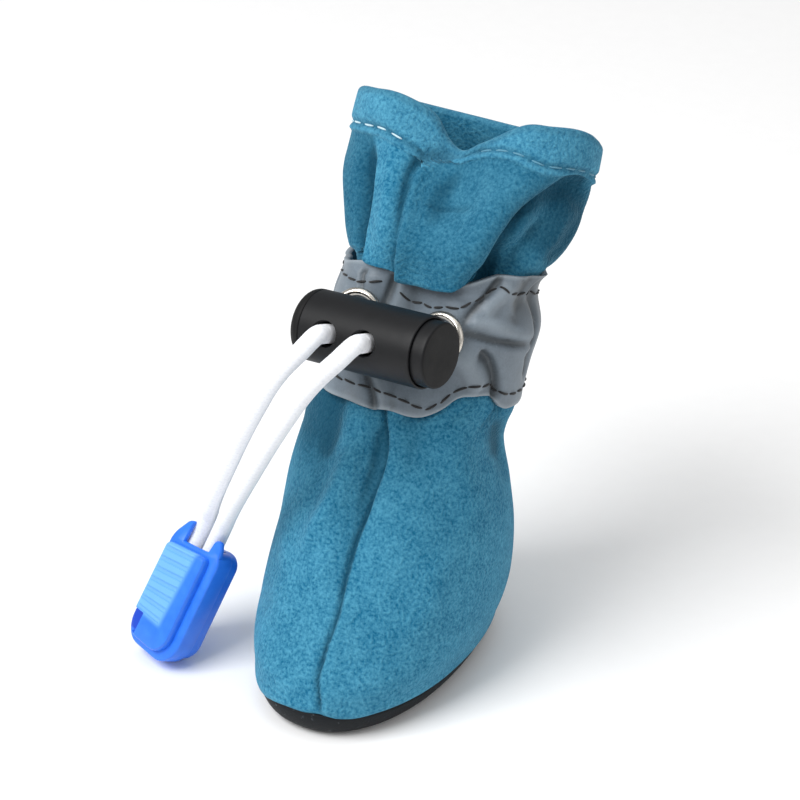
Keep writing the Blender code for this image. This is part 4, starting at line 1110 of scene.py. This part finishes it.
# %% Sizes and place of the lock
LOCK_LENGTH, LOCK_DIAMETER, LOCK_WALL, LOCK_EDGE = 0.0240, 0.0120, 0.0009, 0.0010
LOCK_HOLE, LOCK_HOLE_SPACING, LOCK_HOLE_SHIFT = 0.0041, 0.0076, -0.0008
LOCK_STANDOFF, LOCK_SIDE_SHIFT, LOCK_LIFT = 0.0047, -0.0002, 0.0028
LOCK_TURN, LOCK_RISE, LOCK_PITCH, LOCK_LEAD = 5.7, 5.8, 20.0, 0.0005
BUTTON_OUT, BUTTON_TRAVEL = 0.0024, 0.0020
CAP_LENGTH, CAP_ROUND, CAP_GROOVE, CAP_SOFT = 2.3 * MM, 1.9 * MM, 0.12 * MM, 0.15 * MM
SHELL_WALL, SHELL_GAP, AXIS_HOLE = 0.45 * MM, 0.12 * MM, 0.3 * MM
PLUNGER_ROUND, PLUNGER_BEVEL = 0.4 * MM, 0.3 * MM
BORE_FLARE, BORE_FLARE_DEPTH, BORE_CLEAR = 0.5 * MM, 0.75 * MM, 0.1 * MM
LOCK_SIDES, BORE_SIDES, SHARP_ANGLE = 96, 48, 32.0


def lock_matrix():
    """The lock's place and attitude, hanging on its cord in front of the band."""
    left, right = band_point(-EYELET_TURN)[0], band_point(EYELET_TURN)[0]
    out = LOCK_STANDOFF + 0.5 * LOCK_DIAMETER
    place = 0.5 * (left + right) + Vector((LOCK_SIDE_SHIFT, -out, LOCK_LIFT))
    turn = Matrix.Rotation(math.radians(-LOCK_TURN), 4, "Z")
    rise = Matrix.Rotation(math.radians(-LOCK_RISE), 4, "Y")
    return Matrix.Translation(place) @ turn @ rise @ Matrix.Rotation(math.radians(-LOCK_PITCH), 4, "X")


LOCK_PLACE = lock_matrix()
HOLES = [LOCK_HOLE_SHIFT + side * 0.5 * LOCK_HOLE_SPACING for side in (-1, 1)]
print("lock at", [round(c, 4) for c in LOCK_PLACE.translation])

# %% Helpers for cut forms
def helper_object(name, points, faces):
    """A temporary object in the lock's or clip's own frame."""
    return new_object(name, new_mesh(name, points, faces))


def carve(body, tools, operation="DIFFERENCE"):
    """The mesh of a body after Boolean tools, all of which are then removed."""
    for tool in tools:
        modifier = body.modifiers.new(tool.name, "BOOLEAN")
        modifier.operation, modifier.solver, modifier.object = operation, "EXACT", tool
        modifier.use_self = True
    bpy.context.view_layer.update()
    mesh = bpy.data.meshes.new_from_object(body.evaluated_get(bpy.context.evaluated_depsgraph_get()))
    for old in [body, *tools]:
        bpy.data.objects.remove(old)
    mesh.validate()
    mesh.shade_smooth()
    mesh.set_sharp_from_angle(angle=math.radians(SHARP_ANGLE))
    return mesh


def bore(name, x, reach=0.0):
    """A cutter along Y with conical mouths, stretched along X by reach."""
    half, radius = 0.5 * LOCK_DIAMETER, 0.5 * LOCK_HOLE
    wide = radius + BORE_FLARE
    half_rows = ((half - BORE_FLARE_DEPTH, radius), (half + BORE_CLEAR, wide), (2 * half, wide))
    angles = np.arange(BORE_SIDES) * 2 * math.pi / BORE_SIDES + 0.01
    stretch = np.where(np.cos(angles) > 0, reach, 0.0)
    rings = []
    for y, r in [(-y, r) for y, r in half_rows[::-1]] + list(half_rows):
        ring = (x + stretch + r * np.cos(angles), np.full(BORE_SIDES, y), r * np.sin(angles))
        rings.append(np.stack(ring, axis=1))
    return helper_object(name, rings, capped(rings, BORE_SIDES))


def arc(centre_x, centre_r, radius, start, stop, count):
    """Rows of (along, radius) on an arc."""
    angles = np.radians(np.linspace(start, stop, count))
    return [(centre_x + radius * math.cos(a), centre_r + radius * math.sin(a)) for a in angles]


def turned_form(name, profile):
    """A temporary object turned from a profile of (along, radius) rows."""
    rings = revolve(profile, LOCK_SIDES)
    return helper_object(name, rings, capped(rings, LOCK_SIDES))


print("a half circle in five rows:", len(arc(0.0, 0.0, 1.0, 0, 180, 5)))

# %% Lock barrel
half, radius = 0.5 * LOCK_LENGTH, 0.5 * LOCK_DIAMETER
cap_end, flat = -half + CAP_LENGTH, radius - CAP_ROUND
profile = [(-half, AXIS_HOLE), (-half, 0.5 * flat), (-half, flat)]
profile += arc(-half + CAP_ROUND, flat, CAP_ROUND, 172, 92, 10)
profile += [(cap_end - CAP_SOFT, radius), (cap_end, radius - CAP_GROOVE), (cap_end + CAP_SOFT, radius)]
profile += [(x, radius) for x in np.linspace(-half + 4 * MM, half - 2 * MM, 10)]
profile += arc(half - 0.5 * SHELL_WALL, radius - 0.5 * SHELL_WALL, 0.5 * SHELL_WALL, 90, -90, 9)
profile += [(x, radius - SHELL_WALL) for x in np.linspace(half - 2 * MM, -half + 1.5 * LOCK_WALL, 8)]
barrel = turned_form("barrel_form", profile)
mesh = carve(barrel, [bore(f"barrel_bore_{i}", x) for i, x in enumerate(HOLES)])
add_piece("lock_barrel_shell", mesh, BLACK, "boot", ["lock_barrel"], LOCK_PLACE)

# %% Lock plunger
reach = radius - SHELL_WALL - SHELL_GAP
left = HOLES[0] - 0.5 * LOCK_HOLE - LOCK_WALL
right = half + BUTTON_OUT
profile = [(left, AXIS_HOLE), (left, reach - PLUNGER_BEVEL), (left + PLUNGER_BEVEL, reach)]
profile += [(x, reach) for x in np.linspace(left + 2 * MM, right - LOCK_EDGE, 10)]
profile += arc(right - PLUNGER_ROUND, reach - PLUNGER_ROUND, PLUNGER_ROUND, 80, 0, 8)
profile += [(right, 0.5 * reach), (right, AXIS_HOLE)]
plunger = turned_form("plunger_form", profile)
mesh = carve(plunger, [bore(f"plunger_bore_{i}", x, BUTTON_TRAVEL) for i, x in enumerate(HOLES)])
add_piece("lock_plunger", mesh, BLACK, "button", ["lock_button"], LOCK_PLACE)

# %% [markdown]
# The elastic cord is white and braided. Yarns cross each other round it, and a braid of that size is
# shown best by the surface itself: the tube's radius swells where a yarn passes over its neighbour.

# %% Elastic
ELASTIC = Finish("white elastic", Roughness=0.8, Sheen_Weight=0.25, Specular_IOR_Level=0.2)
yarn = ELASTIC.noise(0.3 * MM, 3.0, 0.6)
white = ELASTIC.blend(yarn, srgb(226, 229, 236), srgb(250, 251, 253))
# Painted shade, a bluish grey, in the dips between the braid's yarns.
ELASTIC.use(Base_Color=ELASTIC.blend(ELASTIC.mark("painted_shade"), white, srgb(186, 194, 208)))
ELASTIC.relief(yarn, 0.08 * MM, 0.6)

# %% Ways of the cords
CLIP_LENGTH, CLIP_PLACE = 0.0240, (-0.0327, -0.0211, 0.0015)
CLIP_LEAN, CLIP_LEAN_TOWARDS, CLIP_TURN = 29.0, 58.0, -17.0
STRAND_LEAD, STRAND_SPREAD, STRAND_INSET = 0.0012, 0.0038, 0.0055
FEED_LEAD, FEED_TURNS, ROUND_TURN, ROUND_POINTS = 0.0010, (15.0, 27.0), 48.0, 13
BRAID_YARNS, BRAID_PITCH, BRAID_DEPTH, BRAID_SIDES = 8, 4.6 * MM, 0.03 * MM, 36
StrandBend = namedtuple("StrandBend", "share push sag")
STRAND_BENDS = table(
    StrandBend,
    (0.06, 0.0019, 0.0000), (0.16, 0.0049, -0.0002), (0.38, 0.0060, -0.0006),
    (0.62, 0.0047, -0.0006), (0.84, 0.0026, -0.0003),
)
towards = Matrix.Rotation(math.radians(CLIP_LEAN_TOWARDS), 4, "Z")
tilt = towards @ Matrix.Rotation(math.radians(CLIP_LEAN), 4, "Y") @ towards.inverted()
CLIP_MATRIX = Matrix.Translation(CLIP_PLACE) @ tilt @ Matrix.Rotation(math.radians(CLIP_TURN), 4, "Z")


def lock_hole(number, depth):
    """A point on the axis of a hole of the lock, behind its front mouth."""
    return LOCK_PLACE @ Vector((HOLES[number], depth - 0.5 * LOCK_DIAMETER, 0.0))


def strand_route(number):
    """A free strand's way from the lock's front mouth, out and down to the clip."""
    mouth, leave = lock_hole(number, 0.0), lock_hole(number, -STRAND_LEAD)
    out = (leave - mouth).normalized()
    across = (-1 if number == 0 else 1) * 0.5 * STRAND_SPREAD
    top = CLIP_MATRIX @ Vector((across, 0.0, CLIP_LENGTH))
    end = CLIP_MATRIX @ Vector((across, 0.0, CLIP_LENGTH - STRAND_INSET))
    route = [leave]
    for bend in STRAND_BENDS:
        route.append(leave.lerp(top, bend.share) + bend.push * out + Vector((0.0, 0.0, bend.sag)))
    return [tuple(mouth), *resample([*route, top, end], 1.3 * CORD_DIAMETER)]


def eyelet_feed(side):
    """The cord's way through an eyelet and on into the tunnel."""
    point, facing = band_point(side * EYELET_TURN)
    deep = BAND_THICKNESS + TUNNEL_SWELL + TUNNEL_DEPTH - 0.5 * CORD_DIAMETER - GAP
    tunnel = [band_point(side * (EYELET_TURN + step), -deep)[0] for step in FEED_TURNS]
    return [point + FEED_LEAD * facing, point, *tunnel]


print("clip at", [round(c, 4) for c in CLIP_MATRIX.translation])

# %% Cords
def braided(name, route, stands_for):
    """A braided cord along a route, as a tube whose yarns swell and cross."""
    line = resample(route, 0.22 * MM)
    run = np.concatenate([[0.0], np.cumsum(np.linalg.norm(np.diff(line, axis=0), axis=1))])[:, None]
    angle = 2 * math.pi * np.arange(BRAID_SIDES)[None, :] / BRAID_SIDES
    twist = 2 * math.pi * run / BRAID_PITCH
    swell = np.maximum(np.cos(BRAID_YARNS * (angle + twist)), np.cos(BRAID_YARNS * (angle - twist)))
    rings, faces = tube(line, 0.5 * CORD_DIAMETER - BRAID_DEPTH + BRAID_DEPTH * swell, BRAID_SIDES)
    mesh = new_mesh(name, rings, faces)
    # The dips between the yarns carry painted shade.
    set_mark(mesh, "painted_shade", np.clip(-0.35 * swell, 0.0, 1.0))
    return add_piece(name, mesh, ELASTIC, "boot", stands_for), line, run[-1, 0]


depth = GAP + BAND_THICKNESS + 0.5 * CORD_DIAMETER
first = EYELET_TURN + ROUND_TURN
behind = [band_point(turn, -depth)[0] for turn in np.linspace(-first, first - 360.0, ROUND_POINTS)]
exits = [[lock_hole(i, LOCK_DIAMETER + lead) for lead in (GAP, LOCK_LEAD)] for i in (0, 1)]
round_ankle = [*exits[0], *eyelet_feed(-1), *behind, *eyelet_feed(1)[::-1], *exits[1][::-1]]
held = [tuple(lock_hole(0, 0.0)), *resample(round_ankle, 0.8 * CORD_DIAMETER), tuple(lock_hole(1, 0.0))]
braided("held_cord", held, ["drawcord"])
strands = []
for number, side in enumerate(("left", "right")):
    strand = braided(f"free_cord_{side}", strand_route(number), [f"cord_strand_{side}"])
    strands.append(strand)

# %% [markdown]
# The clip is two blue shells snapped together round the cords' ends. Its front has a ribbed pad for the
# fingers, its middle is a wider rim, and two horns guard the mouth. It is built from rounded plates: the
# rim, the pad and the back are joined, the mouth, the ribs and the latch's recess are cut, and then the
# horns are added. The upper end slants a little across the clip.

# %% Blue plastic
BLUE = Finish("blue plastic", Specular_IOR_Level=0.5, Coat_Roughness=0.25)
swirl = BLUE.noise(2.2 * MM, 2.0, 0.5)
across, deep, up = (BLUE.axis(name) for name in "XYZ")
blue = BLUE.blend(swirl, srgb(26, 104, 226), srgb(48, 128, 240))
# Painted highlight on the ribbed pad, and painted shade in the latch's recess, a deeper blue.
pad_highlight = (across - (up - 4 * MM) * 0.03).below(1.2 * MM, 2.6 * MM) * up.above(5.2 * MM, 6.4 * MM)
pad_highlight = pad_highlight * deep.below(-3.6 * MM, -2.6 * MM)
latch = across.below(-2.4 * MM, -2.1 * MM) * up.below(5.6 * MM, 6.0 * MM) * up.above(1.6 * MM, 2.3 * MM)
latch = latch * deep.above(-3.6 * MM, -2.9 * MM) * deep.below(-2.6 * MM, -2.3 * MM)
# Painted shade in the latch's recess.
blue = BLUE.blend(latch, blue, srgb(2, 66, 190))
BLUE.use(Base_Color=BLUE.blend(pad_highlight * 0.75, blue, srgb(120, 186, 255)), Roughness=swirl * 0.12 + 0.3)
BLUE.relief(BLUE.noise(0.2 * MM, 2.0, 0.5), 0.015 * MM, 0.4)

# %% Plate helpers
PlateRow = namedtuple("PlateRow", "y inset")
ROUND_LIMIT = 0.48


def rounded(corners, count=7):
    """A closed outline through (x, z, radius) corners, each rounded by its own radius."""
    points, total = [], len(corners)
    for i, (x, z, r) in enumerate(corners):
        here = np.array([x, z])
        sides = [np.array(corners[k % total][:2]) - here for k in (i - 1, i + 1)]
        reach = min(r, *(ROUND_LIMIT * np.linalg.norm(side) for side in sides))
        start, stop = (here + side / np.linalg.norm(side) * reach for side in sides)
        for t in np.linspace(0.0, 1.0, count):
            points.append((1 - t) ** 2 * start + 2 * t * (1 - t) * here + t**2 * stop)
    return np.array(points)


def inset_outline(points, inset):
    """An anticlockwise outline in x and z, drawn in by inset."""
    along = np.roll(points, -1, axis=0) - np.roll(points, 1, axis=0)
    along /= np.linalg.norm(along, axis=1, keepdims=True)
    return points + inset * np.stack([-along[:, 1], along[:, 0]], axis=1)


def plate(name, corners, rows):
    """A rounded plate: an outline in x and z, with an inset at each depth y."""
    outline_points = rounded([(x * MM, z * MM, r * MM) for x, z, r in corners])
    rings = []
    for row in rows:
        flat = inset_outline(outline_points, row.inset * MM)
        rings.append(np.stack([flat[:, 0], np.full(len(flat), row.y * MM), flat[:, 1]], axis=1))
    return helper_object(name, rings, capped(rings, len(outline_points)))


square = rounded(((0, 0, 1), (9, 0, 1), (9, 9, 1), (0, 9, 1)))
print("a square with round corners has", len(square), "points")

# %% Plates of the clip
# Corners are x, z and a radius, and rows are a depth y and an inset, all in millimetres.
RIM_CORNERS = ((-3.4, 0.0, 2.6), (4.4, 0.0, 3.0), (6.8, 3.0, 3.2), (6.5, 19.9, 2.6), (5.0, 21.6, 1.4),
               (2.6, 20.8, 0.5), (-2.3, 20.8, 0.4), (-4.2, 21.6, 1.2), (-5.7, 19.0, 2.0), (-5.3, 2.6, 2.6))
LEFT_HORN = ((-5.4, 17.5, 0.5), (-2.4, 17.5, 0.5), (-2.3, 24.8, 0.4), (-3.4, 24.6, 0.5), (-5.4, 21.4, 1.4))
RIGHT_HORN = ((2.7, 17.5, 0.5), (6.0, 17.5, 0.5), (5.9, 21.6, 1.4), (4.9, 23.5, 0.9), (3.5, 23.4, 0.7))
PAD_CORNERS = ((-2.9, 1.3, 2.2), (3.2, 1.3, 2.4), (5.0, 3.8, 2.6), (4.6, 20.0, 1.2), (-4.8, 20.0, 1.0),
               (-4.7, 3.4, 2.0))
BACK_CORNERS = ((-2.6, 0.8, 2.0), (4.6, 0.9, 2.4), (6.4, 3.3, 2.4), (6.0, 19.4, 2.2), (4.2, 21.2, 1.6),
                (-3.8, 21.0, 1.6), (-5.0, 18.8, 2.2), (-4.6, 2.8, 2.2))
RIM_ROWS = table(PlateRow, (-2.6, 0.34), (-2.5, 0.15), (-2.25, 0.0), (0.9, 0.0), (1.2, 0.1), (1.35, 0.3))
HORN_ROWS = table(PlateRow, (-2.5, 0.25), (-2.3, 0.05), (-2.1, 0.0), (-1.75, 0.0))
PAD_ROWS = table(PlateRow, (-4.0, 0.7), (-3.9, 0.35), (-3.6, 0.1), (-3.1, 0.0), (-1.5, 0.0))
BACK_ROWS = table(PlateRow, (0.5, 0.0), (3.2, 0.0), (3.7, 0.2), (4.0, 0.7))
RIB_COUNT, RIB_PITCH, RIB_TOP, RIB_RIGHT, RIB_SHORTER = 7, 2.05, 18.9, 2.3, 0.12
CLIP_SLANT = 0.2
print("ribs every", RIB_PITCH, "mm")

# %% Cord clip
def block(name, low, high):
    """A box between two corners in millimetres."""
    (x0, y0, z0), (x1, y1, z1) = low, high
    around = ((x0, y0), (x1, y0), (x1, y1), (x0, y1))
    rings = [[(x * MM, y * MM, z * MM) for x, y in around] for z in (z0, z1)]
    return helper_object(name, rings, capped(rings, 4))


def rib_groove(number):
    """A round-bottomed groove across the pad, shorter towards the foot."""
    z, right = RIB_TOP - RIB_PITCH * number, RIB_RIGHT - RIB_SHORTER * number
    line = [(x * MM, -4.1 * MM, z * MM) for x in np.linspace(-7.0, right, 9)]
    rings, faces = tube(line, 0.5 * MM, 12)
    return helper_object(f"clip_groove_{number}", rings, faces)


mouth = (0.5 * (STRAND_SPREAD + CORD_DIAMETER) + GAP) / MM
thick = (0.5 * CORD_DIAMETER + GAP) / MM
plates = [plate("clip_pad", PAD_CORNERS, PAD_ROWS), plate("clip_back", BACK_CORNERS, BACK_ROWS)]
clip = new_object("clip_form", carve(plate("clip_rim", RIM_CORNERS, RIM_ROWS), plates, "UNION"))
tools = [block("clip_mouth", (-mouth, -thick, 17.0), (mouth, thick, 40.0)),
         block("clip_latch", (-7.0, -6.0, 1.9), (-2.2, -2.75, 6.0))]
tools += [rib_groove(number) for number in range(RIB_COUNT)]
clip = new_object("clip_cut", carve(clip, tools))
horns = [plate("horn_left", LEFT_HORN, HORN_ROWS), plate("horn_right", RIGHT_HORN, HORN_ROWS)]
mesh = carve(clip, horns, "UNION")
for point in mesh.vertices:
    point.co.z += CLIP_SLANT * point.co.x * float(fading(point.co.z, 4 * MM, 14 * MM))
clip = add_piece("blue_clip", mesh, BLUE, "boot", ["cord_clip"], CLIP_MATRIX)

# %% [markdown]
# The length of each free strand is printed. Both strands end in the clip's mouth.

for number, (piece, line, length) in enumerate(strands):
    [tuple(p) for p in line[::12]] + [tuple(line[-1])]
    print(f"{piece.name}: {length * 1000:.1f} mm")

# %% [markdown]
# The studio is a pale floor under soft light. The key light stands high on the camera's left, a weaker
# one fills from the right, and the pale world lifts the shadows.

# %% Floor and light
FLOOR = Finish("pale floor", Roughness=0.7)
speckle = FLOOR.noise(4.0 * MM, 2.0, 0.5)
FLOOR.use(Base_Color=FLOOR.blend(speckle, srgb(252, 252, 252), srgb(255, 255, 255)))
ground = bpy.data.meshes.new("studio_floor")
ground.from_pydata([(-3, -3, 0), (3, -3, 0), (3, 3, 0), (-3, 3, 0)], [], [(0, 1, 2, 3)])
ground.materials.append(FLOOR.material)
new_object("studio_floor", ground)


def soft_light(name, direction, distance, size, power):
    """A square area light that looks at the boot."""
    lamp = bpy.data.lights.new(name, "AREA")
    lamp.size, lamp.energy = size, power
    light = new_object(name, lamp)
    light.location = AIM + direction.normalized() * distance
    light.rotation_euler = direction.to_track_quat("Z", "Y").to_euler()
    print(f"{name} light: {power} W at {distance} m")


soft_light("key", -0.75 * to_right + 0.5 * to_camera + Vector((0, 0, 0.75)), 0.7, 0.42, 4.6)
soft_light("fill", 0.9 * to_right + 0.6 * to_camera + Vector((0, 0, 0.3)), 0.9, 0.6, 0.7)
soft_light("top", Vector((0.0, 0.2, 1.0)), 0.8, 0.7, 1.4)
world = bpy.data.worlds.new("studio")
bpy.context.scene.world = world
world.use_nodes = True
backdrop = world.node_tree.nodes["Background"]
backdrop.inputs["Color"].default_value = (1.0, 1.0, 1.0, 1.0)
backdrop.inputs["Strength"].default_value = 0.46
bpy.context.scene.view_settings.view_transform = "Standard"

# %% [markdown]
# Last, the view layer is brought up to date.

# %% Update the scene
bpy.context.view_layer.update()
